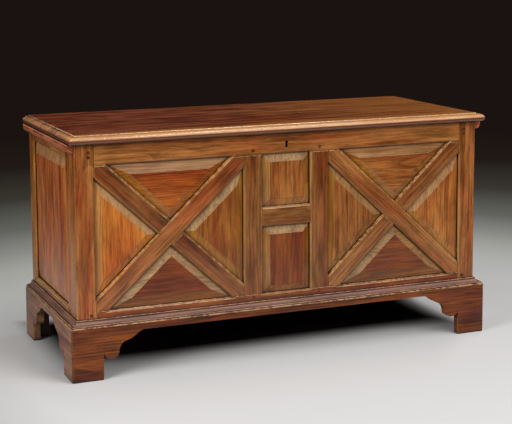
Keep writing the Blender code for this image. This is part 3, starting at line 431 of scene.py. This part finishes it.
def pine(name, family, ring=0.006, gloss=0.28, coat=0.12, broad=1.0, nook=0.022, sheen_haze=None, gold=None):
    """Old pine, hand planed, under thin shellac and wax.

    The eye gets soft lines where hard summer wood follows pale spring wood, slow waves from the plane,
    a satin light on every slope, a dusty coat and painted light on the slopes, paler wood and a painted
    highlight on worn corners, and painted shade with dark wax in the nooks.
    """
    if name in bpy.data.materials:
        return bpy.data.materials[name]
    material = new_material(name)
    tree = material.node_tree
    pale = colour(family + "_pale")
    deep = colour(family + "_deep")
    grain = add(tree, "Attribute", attribute_name="grain").outputs["Vector"]
    wear, dust, shade, tone = [
        add(tree, "Attribute", attribute_name=layer).outputs["Fac"]
        for layer in ("wear", "dust", "shade", "tone")
    ]
    figure, rings, bands, fibre = board_figure(tree, grain, ring, broad)
    wood = stained(tree, grain, figure, pale, deep)
    # Only the lid has gold: bleached wood with a painted sheen, and painted shade under its nose.
    if gold:
        wood, dust, wear = bleached_and_lit(tree, wood, bands, deep, colour(gold), dust, wear)
    wood = toned(tree, wood, grain, tone)
    # The coat of dust and painted light is golden where it is thin and dull where it is thick, unless it
    # has one colour.
    wood = filmed_with_dust_and_light(tree, wood, figure, dust, colour(sheen_haze or "golden_lit"), colour(sheen_haze or "dulled_and_lit"))
    wood = worn_lit_and_shaded(tree, wood, grain, wear, shade, nook)
    rough = add(tree, "Math", {0: fibre, 1: 0.22, 2: gloss - 0.11}, operation="MULTIPLY_ADD")
    shader = add(
        tree, "BsdfPrincipled",
        {"Base Color": wood, "Roughness": rough.outputs[0], "Normal": planed(tree, grain, fibre, rings),
         "Coat Weight": coat, "Coat Roughness": 0.18, "IOR": 1.45},
    )
    add(tree, "OutputMaterial", {"Surface": shader.outputs[0]})
    return material


def frame_pine():
    """Brown, satin pine of the rails and stiles."""
    return pine("pine_frame", "frame")


def brace_pine():
    """Darker pine of the left braces."""
    return pine("pine_brace", "brace")


def red_pine():
    """Deep red pine that took the stain best."""
    return pine("pine_red", "red")


def gold_pine():
    """Yellow pine of the panels that kept least stain."""
    return pine("pine_gold_panel", "gold")


def tan_pine():
    """Tan pine of the other front panels."""
    return pine("pine_tan_panel", "tan")


def end_pine():
    """Pale, warm pine of the end panels."""
    return pine("pine_end_panel", "end")


def moulding_pine():
    """Fine, dark pine of the base moulding, with cool dust and a painted sheen on its slopes."""
    return pine("pine_moulding", "base", gloss=0.4, coat=0.05, broad=0.6, sheen_haze="lilac_sheen_and_dust")


def foot_pine():
    """Dark pine of the feet, finely streaked, with no polish left."""
    return pine("pine_foot", "base", gloss=0.45, coat=0.0, broad=0.45)


def end_foot_pine():
    """Scuffed, greyer pine of the brackets at the ends, whose grey is partly a painted sheen."""
    return pine("pine_end_base", "end_base", gloss=0.45, coat=0.0, broad=0.6)


def lid_pine():
    """Broadly figured pine of the lid, polished by hands and bleached by the sun, with a painted sheen at
    its right end and front edge, a painted highlight on its nose and painted shade under it.
    """
    return pine(
        "pine_lid", "lid", ring=0.012, gloss=0.26, coat=0.6, broad=1.8, nook=0.03, sheen_haze="worn_cream_highlight",
        gold="lid_gold_and_sheen",
    )


def cleat_pine():
    """The cleats' pine, as polished as the lid's, with the lid's pale highlight painted on its slopes."""
    return pine("pine_cleat", "lid", gloss=0.26, coat=0.6, sheen_haze="worn_cream_highlight")


def peg_pine():
    """Dry, dark end grain of the pegs."""
    return pine("pine_peg", "base", gloss=0.5, coat=0.0)


def bare_pine():
    """Pine that never had a finish, grey and dull."""
    return pine("pine_bare", "bare", gloss=0.72, coat=0.0)


def wrought_iron():
    """Wrought iron, blackened at the forge and filed at its edges.

    The eye gets a dull dark metal with soft hammer marks, and dry brown rust in patches.
    """
    name = "wrought_iron"
    if name in bpy.data.materials:
        return bpy.data.materials[name]
    material = new_material(name)
    tree = material.node_tree
    place = add(tree, "TexCoord").outputs["Object"]
    # Patches of rust, 5 to 20 mm across.
    patches = add(tree, "TexNoise", {"Vector": place, "Scale": 90, "Detail": 5, "Roughness": 0.65})
    rust = add(tree, "MapRange", {"Value": patches.outputs["Fac"], "From Min": 0.5, "From Max": 0.66})
    surface = add(
        tree, "Mix", {"Factor": rust.outputs[0], "A": colour("iron"), "B": colour("rust")},
        data_type="RGBA",
    )
    rough = add(tree, "MapRange", {"Value": rust.outputs[0], "To Min": 0.42, "To Max": 0.78})
    # Hammer marks, about 9 mm across.
    marks = add(tree, "TexVoronoi", {"Vector": place, "Scale": 110}, feature="SMOOTH_F1")
    bump = add(tree, "Bump", {"Height": marks.outputs["Distance"], "Distance": 0.0008, "Strength": 0.4})
    shader = add(
        tree, "BsdfPrincipled",
        {"Base Color": surface.outputs["Result"], "Metallic": 0.85, "Roughness": rough.outputs[0],
         "Normal": bump.outputs[0]},
    )
    add(tree, "OutputMaterial", {"Surface": shader.outputs[0]})
    return material


def slope_marks(normal, out, dust_and_light_film):
    """(dust, shade) of a face: a dusty coat and painted light pale slopes that face up, left or forward,
    and painted shade darkens slopes that face down or right.
    """
    # An underside gathers no dust, and lies in a little shade.
    if normal.z < -FLAT_COSINE:
        return 0.0, 0.35
    lean = normal - out * normal.dot(out)
    light = 3.0 * max(lean.z, 0) + 1.3 * abs(out.y) * max(-lean.x, 0)
    light += 0.6 * abs(out.z * lean.x) + (0.4 + 0.6 * abs(out.z)) * max(-lean.y, 0)
    shade = 0.8 * min(max(-normal.z, 0) + 0.5 * max(lean.x, 0), 1)
    return dust_and_light_film * min(0.25 + light, 1), shade


def store(mesh, name, material, along, out, tone=0.0, number=1, rubbed_and_lit=(), dust_and_light_film=0.0):
    """Turns a bmesh into a piece whose attributes hold its place in the board, worn and lit corners, a
    dusty coat with painted light, painted shade, and tone.
    """
    turn = Matrix((along, out.cross(along), out))
    middle = sum((v.co for v in mesh.verts), Vector()) / len(mesh.verts)
    # The board's place in its own trunk: how far along, to which side of the heart, how far from it.
    trunk = Vector((
        number * 1.37, ((number * GOLDEN_SHARE) % 1 - 0.5) * 0.12, 0.035 + (number * 0.414 % 1) * 0.06
    ))
    grain = mesh.verts.layers.float_vector.new("grain")
    level = mesh.verts.layers.float.new("tone")
    wear = mesh.faces.layers.float.new("wear")
    dust = mesh.faces.layers.float.new("dust")
    shade = mesh.faces.layers.float.new("shade")
    for vert in mesh.verts:
        vert[grain] = turn @ (vert.co - middle) + trunk
        vert[level] = tone
    for face in mesh.faces:
        face.smooth = True
        # Rounded corners take wear and a painted highlight, most where they face up.
        if face.index in rubbed_and_lit:
            face[wear] = 0.05 + 0.6 * max(face.normal.z, 0)
        # A face square to its board takes no film and no shade, unless it is an underside.
        slopes = max(abs(part) for part in turn @ face.normal) < FLAT_COSINE
        if slopes or face.normal.z < -FLAT_COSINE:
            face[dust], face[shade] = slope_marks(face.normal, out, dust_and_light_film)
    for edge in mesh.edges:
        edge.smooth = len(edge.link_faces) == 2 and edge.calc_face_angle() < SHADE_ANGLE
    data = bpy.data.meshes.new(name)
    mesh.to_mesh(data)
    mesh.free()
    piece = bpy.data.objects.new(name, data)
    bpy.context.scene.collection.objects.link(piece)
    data.materials.append(material)
    piece.modifiers.new("Even shading", "WEIGHTED_NORMAL").keep_sharp = True
    return piece


def worn(node, material, along, out, softness, tone=0.0, dust_and_light_film=0.5):
    """Makes a copy of one solid with its corners rubbed round, which then stands for the solid."""
    mesh = bmesh.new()
    mesh.from_mesh(frame["nodes"][node].data)
    bmesh.ops.remove_doubles(mesh, verts=mesh.verts, dist=MERGE_DISTANCE)
    bmesh.ops.dissolve_limit(mesh, angle_limit=FLAT_ANGLE, verts=mesh.verts, edges=mesh.edges)
    corners = [
        edge for edge in mesh.edges
        if edge.is_convex and edge.calc_face_angle() > CORNER_ANGLE
        and edge.calc_length() > SHORTEST_CORNER * softness
    ]
    made = bmesh.ops.bevel(
        mesh, geom=corners, offset=softness, offset_type="OFFSET", segments=2, profile=0.5,
        affect="EDGES", clamp_overlap=False, material=-1,
    )
    mesh.faces.index_update()
    rubbed_and_lit = {face.index for face in made["faces"]}
    piece = store(
        mesh, node + "_worn", material, along, out, tone, board_numbers[node], rubbed_and_lit, dust_and_light_film
    )
    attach(piece, frame["nodes"][node]["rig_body"])
    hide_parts(node)


class CHEST_OT_front_frame(bpy.types.Operator):
    """Rubs the corners of the front posts, rails and muntins"""

    bl_idname = "chest.front_frame"
    bl_label = "Front frame"

    def execute(self, context):
        softness = context.scene.chest_sizes.frame_softness
        for node, wood, along, tone in (
            ("front_left_post", frame_pine(), Z, 0.45),
            ("front_right_post", frame_pine(), Z, 0.11),
            ("front_top_rail", frame_pine(), X, 0.16),
            ("front_left_muntin", frame_pine(), Z, -0.61),
            ("front_right_muntin", frame_pine(), Z, -0.70),
            ("front_middle_rail", frame_pine(), X, -0.67),
            ("front_bottom_rail", red_pine(), X, 0.0),
        ):
            worn(node, wood, along, -Y, softness, tone)
        for node, out in (("rear_left_post", -X), ("rear_right_post", X)):
            worn(node, frame_pine(), Z, out, softness, -0.1)
        return {"FINISHED"}


class CHEST_OT_braces(bpy.types.Operator):
    """Rubs the corners of the four diagonal braces"""

    bl_idname = "chest.braces"
    bl_label = "Braces"

    def execute(self, context):
        softness = context.scene.chest_sizes.brace_softness
        for node, wood, along, tone in (
            ("left_through_brace", brace_pine(), RISING, 0.62),
            ("left_halved_brace", brace_pine(), FALLING, -0.39),
            ("right_through_brace", frame_pine(), FALLING, -0.20),
            ("right_halved_brace", frame_pine(), RISING, -0.35),
        ):
            worn(node, wood, along, -Y, softness, tone, dust_and_light_film=0.4)
        return {"FINISHED"}


class CHEST_OT_front_panels(bpy.types.Operator):
    """Dresses the eight triangular and two oblong panels of the front"""

    bl_idname = "chest.front_panels"
    bl_label = "Front panels"

    def execute(self, context):
        softness = context.scene.chest_sizes.panel_softness
        # The right X takes less dust and painted light on its slopes than the rest.
        for node, wood, along, tone, dust_and_light_film in (
            ("left_x_top_panel", red_pine(), X, 1.22, 0.8),
            ("left_x_bottom_panel", red_pine(), X, -0.27, 0.8),
            ("left_x_left_panel", gold_pine(), Z, 0.78, 0.8),
            ("left_x_right_panel", gold_pine(), Z, -0.73, 0.8),
            ("right_x_top_panel", tan_pine(), X, 0.08, 0.62),
            ("right_x_bottom_panel", red_pine(), X, -0.60, 0.62),
            ("right_x_left_panel", tan_pine(), Z, -0.33, 0.62),
            ("right_x_right_panel", tan_pine(), Z, 0.73, 0.62),
            ("centre_upper_panel", tan_pine(), Z, 0.07, 0.8),
            ("centre_lower_panel", red_pine(), Z, -0.37, 0.8),
        ):
            worn(node, wood, along, -Y, softness, tone, dust_and_light_film)
        return {"FINISHED"}


class CHEST_OT_ends(bpy.types.Operator):
    """Dresses the rails and panels of both ends"""

    bl_idname = "chest.ends"
    bl_label = "Ends"

    def execute(self, context):
        sizes = context.scene.chest_sizes
        for side, out in (("left", -X), ("right", X)):
            worn(side + "_end_top_rail", frame_pine(), Y, out, sizes.frame_softness)
            worn(side + "_end_bottom_rail", frame_pine(), Y, out, sizes.frame_softness, -0.25)
            worn(side + "_end_panel", end_pine(), Z, out, sizes.panel_softness, dust_and_light_film=0.7)
        return {"FINISHED"}


class CHEST_OT_back_and_bottom(bpy.types.Operator):
    """Dresses the unfinished back frame, its panels and the bottom boards"""

    bl_idname = "chest.back_and_bottom"
    bl_label = "Back and bottom"

    def execute(self, context):
        softness = context.scene.chest_sizes.frame_softness
        for node, along, out, tone in (
            ("back_top_rail", X, Y, 0.0),
            ("back_bottom_rail", X, Y, -0.15),
            ("back_muntin", Z, Y, 0.1),
            ("back_left_panel", X, Y, -0.1),
            ("back_right_panel", X, Y, 0.05),
            ("bottom_board_1", X, Z, 0.1),
            ("bottom_board_2", X, Z, -0.1),
        ):
            worn(node, bare_pine(), along, out, softness, tone)
        return {"FINISHED"}


class CHEST_OT_base(bpy.types.Operator):
    """Dresses the base moulding, the bracket feet and the blocks behind them"""

    bl_idname = "chest.base"
    bl_label = "Base"

    def execute(self, context):
        sizes = context.scene.chest_sizes
        for node, along, out, tone in (
            ("front_base_moulding", X, -Y, 0.15),
            ("left_base_moulding", Y, -X, 0.05),
            ("right_base_moulding", Y, X, 0.05),
        ):
            worn(node, moulding_pine(), along, out, sizes.moulding_softness, tone)
        for node, wood, along, out, tone in (
            ("front_bracket_board", foot_pine(), X, -Y, 0.0),
            ("left_bracket_board", end_foot_pine(), Y, -X, 0.0),
            ("right_bracket_board", end_foot_pine(), Y, X, 0.0),
            ("rear_left_foot_bracket", foot_pine(), X, Y, -0.2),
            ("rear_right_foot_bracket", foot_pine(), X, Y, -0.2),
        ):
            worn(node, wood, along, out, sizes.base_softness, tone, dust_and_light_film=0.25)
        for side in ("front_left", "front_right", "rear_left", "rear_right"):
            worn(side + "_foot_block", bare_pine(), Z, -Y, sizes.base_softness, -0.2)
        return {"FINISHED"}


class CHEST_OT_lid(bpy.types.Operator):
    """Dresses the lid board and the cleats under its ends"""

    bl_idname = "chest.lid"
    bl_label = "Lid"

    def execute(self, context):
        sizes = context.scene.chest_sizes
        worn("lid_board", lid_pine(), X, Z, sizes.lid_softness, dust_and_light_film=0.85)
        for side, out in (("left", -X), ("right", X)):
            worn(side + "_lid_cleat", cleat_pine(), Y, out, sizes.cleat_softness, 0.2)
        return {"FINISHED"}


def peg(mesh, place, out, sizes, turn):
    """Adds one whittled peg, whose outer end is eased all round."""
    depth = PEG_DEPTH + sizes.peg_proud
    basis = out.to_track_quat("Z", "X").to_matrix().to_4x4()
    shift = Matrix.Translation(place + out * (sizes.peg_proud - depth / 2))
    made = bmesh.ops.create_cone(
        mesh, cap_ends=True, segments=9, radius1=sizes.peg_radius,
        radius2=sizes.peg_radius * PEG_TAPER, depth=depth,
        matrix=shift @ basis @ Matrix.Rotation(turn, 4, "Z"),
    )
    level = place.dot(out) + sizes.peg_proud * 0.8
    rim = [
        edge for edge in {e for v in made["verts"] for e in v.link_edges}
        if all(v.co.dot(out) > level for v in edge.verts)
    ]
    bmesh.ops.bevel(
        mesh, geom=rim, offset=sizes.peg_proud * 0.8, offset_type="OFFSET", segments=2, profile=0.5,
        affect="EDGES", clamp_overlap=False, material=-1,
    )


class CHEST_OT_pegs(bpy.types.Operator):
    """Adds the draw-bore pegs that hold the joints"""

    bl_idname = "chest.pegs"
    bl_label = "Pegs"

    def execute(self, context):
        sizes = context.scene.chest_sizes
        post_low, post_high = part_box("front_right_post")
        rear_low, rear_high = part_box("rear_right_post")
        rail_low, rail_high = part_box("front_top_rail")
        muntin_low, muntin_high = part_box("front_right_muntin")
        # Two pegs hold the top rail in each post. One, just above the moulding, holds the bottom rail.
        rail_z = (rail_low.z + rail_high.z) / 2
        lower = (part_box("front_base_moulding")[1].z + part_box("front_bottom_rail")[1].z) / 2
        heights = (rail_z + sizes.peg_pitch / 2, rail_z - sizes.peg_pitch / 2, lower)
        post_x = post_low.x + sizes.peg_inset
        muntin_x = (muntin_low.x + muntin_high.x) / 2
        muntin_heights = (rail_low.z + sizes.peg_inset - MUNTIN_PEG_SHIFT, lower + MUNTIN_PEG_SHIFT)
        front = [(side * post_x, z) for side in (-1, 1) for z in heights]
        front += [(side * muntin_x, z) for side in (-1, 1) for z in muntin_heights]
        end_rows = (post_high.y - sizes.peg_inset, rear_low.y + sizes.peg_inset)
        ends = [(y, z) for y in end_rows for z in heights]
        back = [(side * post_x, z) for side in (-1, 1) for z in heights]
        for name, out, places in (
            ("front_pegs", -Y, [Vector((x, post_low.y, z)) for x, z in front]),
            ("left_end_pegs", -X, [Vector((-post_high.x, y, z)) for y, z in ends]),
            ("right_end_pegs", X, [Vector((post_high.x, y, z)) for y, z in ends]),
            ("back_pegs", Y, [Vector((x, rear_high.y, z)) for x, z in back]),
        ):
            mesh = bmesh.new()
            for count, place in enumerate(places):
                # Neighbouring pegs aren't turned alike.
                peg(mesh, place, out, sizes, count * 0.7)
            # A peg shows its end grain. The name's length picks a place in the trunk.
            piece = store(mesh, name, peg_pine(), out, Z, tone=-0.35, number=len(name))
            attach(piece, "case")
        return {"FINISHED"}


def screw(mesh, place, out, radius, turn):
    """Adds one flat screw head with a filed slot across it."""
    head = bmesh.new()
    bmesh.ops.create_cone(
        head, cap_ends=True, segments=20, radius1=radius * SCREW_TAPER, radius2=radius,
        depth=SCREW_DEPTH,
    )
    half_slot = radius * SCREW_SLOT_HALF_WIDTH
    for side in (-1, 1):
        bmesh.ops.bisect_plane(
            head, geom=head.verts[:] + head.edges[:] + head.faces[:], dist=1e-6,
            plane_co=(0, side * half_slot, 0), plane_no=(0, 1, 0),
        )
    slot = [f for f in head.faces if f.normal.z > 0.9 and abs(f.calc_center_median().y) < half_slot]
    sunk = bmesh.ops.extrude_face_region(head, geom=slot)
    bmesh.ops.delete(head, geom=slot, context="FACES_KEEP_BOUNDARY")
    bmesh.ops.translate(
        head, verts=[v for v in sunk["geom"] if isinstance(v, bmesh.types.BMVert)],
        vec=(0, 0, -SCREW_DEPTH * SCREW_SLOT_DEPTH),
    )
    bmesh.ops.recalc_face_normals(head, faces=head.faces)
    basis = out.to_track_quat("Z", "X").to_matrix().to_4x4()
    settle = Matrix.Translation(place + out * (SCREW_PROUD - SCREW_DEPTH / 2))
    bmesh.ops.transform(
        head, matrix=settle @ basis @ Matrix.Rotation(turn, 4, "Z"), verts=head.verts
    )
    part = bpy.data.meshes.new("screw_head")
    head.to_mesh(part)
    head.free()
    mesh.from_mesh(part)
    bpy.data.meshes.remove(part)


def dress_iron(node):
    """Gives a solid that keeps its own shape the iron's finish."""
    materials = frame["nodes"][node].data.materials
    materials.clear()
    materials.append(wrought_iron())


class CHEST_OT_hinges(bpy.types.Operator):
    """Dresses the butt hinges and adds their screws"""

    bl_idname = "chest.hinges"
    bl_label = "Hinges"

    def execute(self, context):
        for side in ("left", "right"):
            for part in ("lid_leaf", "case_leaf", "pin"):
                dress_iron(side + "_hinge_" + part)
        radius = context.scene.chest_sizes.screw_radius
        for part, body, out, outermost in (("lid_leaf", "lid", -Z, min), ("case_leaf", "case", Z, max)):
            mesh = bmesh.new()
            for side in ("left", "right"):
                node = side + "_hinge_" + part
                low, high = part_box(node)
                vertices = frame["nodes"][node].data.vertices
                face_z = outermost(v.co.z for v in vertices if v.co.y < low.y + LEAF_PLATE)
                for count, share in enumerate(SCREW_SHARES):
                    place = Vector((low.x + share * (high.x - low.x), low.y + SCREW_INSET, face_z))
                    # No two slots of a leaf stop at the same angle.
                    screw(mesh, place, out, radius, 0.5 + count * 1.1 + low.x)
            piece = store(mesh, part + "_screws", wrought_iron(), X, out)
            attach(piece, body)
        return {"FINISHED"}


class CHEST_OT_lock(bpy.types.Operator):
    """Dresses the lock, its bolt and staple, and adds the lock's nails"""

    bl_idname = "chest.lock"
    bl_label = "Lock"

    def execute(self, context):
        for node in ("lock_case", "lock_bolt", "lid_staple"):
            dress_iron(node)
        radius = context.scene.chest_sizes.nail_radius
        low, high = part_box("lock_case")
        flat = Matrix.Diagonal((1, 1, NAIL_FLATNESS, 1))
        mesh = bmesh.new()
        for x in (low.x + NAIL_INSET, high.x - NAIL_INSET):
            for z in (low.z + NAIL_INSET, high.z - NAIL_INSET_TOP):
                place = Matrix.Translation((x, high.y, z)) @ Matrix.Rotation(-math.pi / 2, 4, "X")
                made = bmesh.ops.create_uvsphere(
                    mesh, u_segments=12, v_segments=8, radius=radius, matrix=place @ flat
                )
                # Each nail was driven with its facets turned another way.
                bmesh.ops.rotate(
                    mesh, verts=made["verts"], cent=(x, high.y, z), matrix=Matrix.Rotation(x * 9, 3, "Y")
                )
        piece = store(mesh, "lock_nails", wrought_iron(), X, Y)
        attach(piece, "case")
        return {"FINISHED"}


def softbox(name, place, target, size, watts, mirrored):
    """Adds one large lamp that looks at the target. A lamp that isn't mirrored leaves no sheen."""
    lamp = bpy.data.lights.new(name, "AREA")
    lamp.shape = "RECTANGLE"
    lamp.size, lamp.size_y = size
    lamp.energy = watts
    holder = bpy.data.objects.new(name, lamp)
    holder.location = place
    holder.rotation_euler = (Vector(target) - Vector(place)).to_track_quat("-Z", "Y").to_euler()
    holder.visible_camera = False
    holder.visible_glossy = mirrored
    bpy.context.scene.collection.objects.link(holder)


def seen_directly(tree):
    """1 for a ray from the camera, a mirror or glass, and 0 for a ray that only carries light."""
    path = add(tree, "LightPath")
    seen = add(
        tree, "Math", {0: path.outputs["Is Camera Ray"], 1: path.outputs["Is Glossy Ray"]},
        operation="MAXIMUM",
    )
    return add(
        tree, "Math", {0: seen.outputs[0], 1: path.outputs["Is Transmission Ray"]}, operation="MAXIMUM"
    ).outputs[0]


def paper_with_painted_shadow(tree, studio, place, reach):
    """The floor's colour: a painted falloff of light with distance, and a black painted shadow under the
    chest.
    """
    # A painted falloff of light: the colours at some distances, in metres, from the middle of the paper.
    share = add(tree, "Math", {0: reach, 1: 1 / PAPER_REACH}, operation="MULTIPLY")
    painted_falloff = add(
        tree, "ValToRGB", {"Fac": share.outputs[0]},
        stops=[(distance / PAPER_REACH, tone) for distance, tone in (
            (0.95, list(studio.floor)), (1.35, linear("#a9aaa5")), (1.68, linear("#888984")),
            (2.05, linear("#62635e")), (2.7, linear("#38362f")), (3.6, linear("#201a16")),
            (4.75, list(studio.backdrop)),
        )],
    )
    # How far a spot lies outside the painted shadow's outline, or inside it where this is negative.
    low, high = cad_box
    centre = (low + high) / 2 + Vector((0, PAINTED_SHADOW_SHIFT, 0))
    aside = add(tree, "VectorMath", {0: place, 1: centre}, operation="SUBTRACT")
    aside = add(tree, "VectorMath", {0: aside.outputs[0]}, operation="ABSOLUTE")
    aside = add(tree, "VectorMath", {0: aside.outputs[0], 1: (high - low) / 2}, operation="SUBTRACT")
    aside = add(tree, "SeparateXYZ", {0: aside.outputs[0]})
    beyond = add(tree, "Math", {0: aside.outputs["X"], 1: aside.outputs["Y"]}, operation="MAXIMUM")
    open_floor = add(
        tree, "MapRange",
        {"Value": beyond.outputs[0], "From Min": PAINTED_SHADOW_WHOLE, "From Max": PAINTED_SHADOW_END},
        interpolation_type="SMOOTHSTEP",
    )
    # Inside the outline the painted shadow takes the place of the paper.
    return add(
        tree, "Mix",
        {"Factor": open_floor.outputs[0], "A": list(studio.painted_shadow), "B": painted_falloff.outputs["Color"]},
        data_type="RGBA",
    ).outputs["Result"]


def studio_paper(studio):
    """Seamless studio paper, with a painted pool of light round the chest that is lost in the dark behind
    it.
    """
    material = new_material("studio_paper")
    tree = material.node_tree
    place = add(tree, "TexCoord").outputs["Object"]
    offset = add(tree, "VectorMath", {0: place, 1: PAPER_CENTRE}, operation="SUBTRACT")
    reach = add(tree, "VectorMath", {0: offset.outputs[0]}, operation="LENGTH").outputs["Value"]
    tone = paper_with_painted_shadow(tree, studio, place, reach)
    lit = add(tree, "BsdfDiffuse", {"Color": tone})
    # A painted glow, though the paper is no lamp.
    shown = add(tree, "Emission", {"Color": tone, "Strength": 1})
    # The paper is lit like the chest within 0.85 m, and beyond 1.5 m, where it is seen directly, it glows
    # with its painted falloff of light.
    far = add(
        tree, "MapRange", {"Value": reach, "From Min": 0.85, "From Max": 1.5},
        interpolation_type="SMOOTHSTEP",
    )
    mixed = add(tree, "Math", {0: seen_directly(tree), 1: far.outputs[0]}, operation="MULTIPLY")
    surface = add(tree, "MixShader", {0: mixed.outputs[0], 1: lit.outputs[0], 2: shown.outputs[0]})
    add(tree, "OutputMaterial", {"Surface": surface.outputs[0]})
    return material


class CHEST_OT_studio(bpy.types.Operator):
    """Builds the floor, the lamps and the camera"""

    bl_idname = "chest.studio"
    bl_label = "Studio"

    def execute(self, context):
        scene = context.scene
        studio = scene.chest_studio
        self.lay_floor(scene, studio)
        for name, place, target, size, watts, mirrored in (
            ("key_lamp", (1.61, -2.79, 3.0), CHEST_MIDDLE, (2.4, 2.4), studio.key_power, True),
            ("strip_lamp", (1.46, -3.6, 1.3), CHEST_MIDDLE, (4.0, 1.0), studio.strip_power, False),
            ("side_lamp", (-3.5, -1.63, 1.33), CHEST_MIDDLE, (1.8, 1.4), studio.side_power, False),
            ("top_lamp", (0.9, -0.4, 3.3), (0.3, 0, 0.3), (3.6, 0.25), studio.top_power, True),
        ):
            softbox(name, place, target, size, watts, mirrored)
        self.light_world(scene, studio)
        self.place_camera(scene)
        scene.view_settings.view_transform = "Standard"
        return {"FINISHED"}

    def lay_floor(self, scene, studio):
        """A round floor that reaches past every view."""
        mesh = bmesh.new()
        bmesh.ops.create_circle(mesh, cap_ends=True, segments=64, radius=FLOOR_RADIUS)
        data = bpy.data.meshes.new("studio_floor")
        mesh.to_mesh(data)
        mesh.free()
        floor = bpy.data.objects.new("studio_floor", data)
        data.materials.append(studio_paper(studio))
        scene.collection.objects.link(floor)

    def light_world(self, scene, studio):
        """Plain light all round, and a dark studio where a ray sees past the floor."""
        world = bpy.data.worlds.new("studio_world")
        scene.world = world
        world.use_nodes = True
        tree = world.node_tree
        tree.nodes.clear()
        fill = add(tree, "Background", {"Color": linear("#fff8f0"), "Strength": studio.fill})
        dark = add(tree, "Background", {"Color": list(studio.backdrop), "Strength": 1})
        mixed = add(tree, "MixShader", {0: seen_directly(tree), 1: fill.outputs[0], 2: dark.outputs[0]})
        add(tree, "OutputWorld", {"Surface": mixed.outputs[0]})

    def place_camera(self, scene):
        """The photo's own view of the chest."""
        camera = bpy.data.cameras.new("photo_camera")
        camera.lens = CAMERA_LENS
        camera.sensor_width = CAMERA_SENSOR
        camera.shift_y = CAMERA_SHIFT
        camera.clip_end = 5 * FLOOR_RADIUS
        holder = bpy.data.objects.new("photo_camera", camera)
        holder.matrix_world = (
            Matrix.Translation(CAMERA_PLACE)
            @ Matrix.Rotation(CAMERA_PAN, 4, "Z")
            @ Matrix.Rotation(math.pi / 2 - CAMERA_DOWN, 4, "X")
            @ Matrix.Rotation(CAMERA_ROLL, 4, "Z")
        )
        scene.collection.objects.link(holder)
        scene.camera = holder


OPERATORS = (
    CHEST_OT_front_frame,
    CHEST_OT_braces,
    CHEST_OT_front_panels,
    CHEST_OT_ends,
    CHEST_OT_back_and_bottom,
    CHEST_OT_base,
    CHEST_OT_lid,
    CHEST_OT_pegs,
    CHEST_OT_hinges,
    CHEST_OT_lock,
    CHEST_OT_studio,
)


class CHEST_PT_panel(bpy.types.Panel):
    """Lists the steps that dress the chest"""

    bl_idname = "CHEST_PT_panel"
    bl_label = "Blanket chest"
    bl_space_type = "VIEW_3D"
    bl_region_type = "UI"
    bl_category = "Chest"

    def draw(self, context):
        for operator in OPERATORS:
            self.layout.operator(operator.bl_idname)
        scene = context.scene
        for group in (scene.chest_sizes, scene.chest_colours, scene.chest_studio):
            for name in group.__annotations__:
                self.layout.prop(group, name)


CLASSES = (ChestSizes, ChestColours, ChestStudio, *OPERATORS, CHEST_PT_panel)


def register():
    for each in CLASSES:
        bpy.utils.register_class(each)
    bpy.types.Scene.chest_sizes = PointerProperty(type=ChestSizes)
    bpy.types.Scene.chest_colours = PointerProperty(type=ChestColours)
    bpy.types.Scene.chest_studio = PointerProperty(type=ChestStudio)


def unregister():
    del bpy.types.Scene.chest_studio
    del bpy.types.Scene.chest_colours
    del bpy.types.Scene.chest_sizes
    for each in reversed(CLASSES):
        bpy.utils.unregister_class(each)


def main():
    register()
    for operator in OPERATORS:
        group, name = operator.bl_idname.split(".")
        getattr(getattr(bpy.ops, group), name)()


if __name__ == "__main__":
    main()
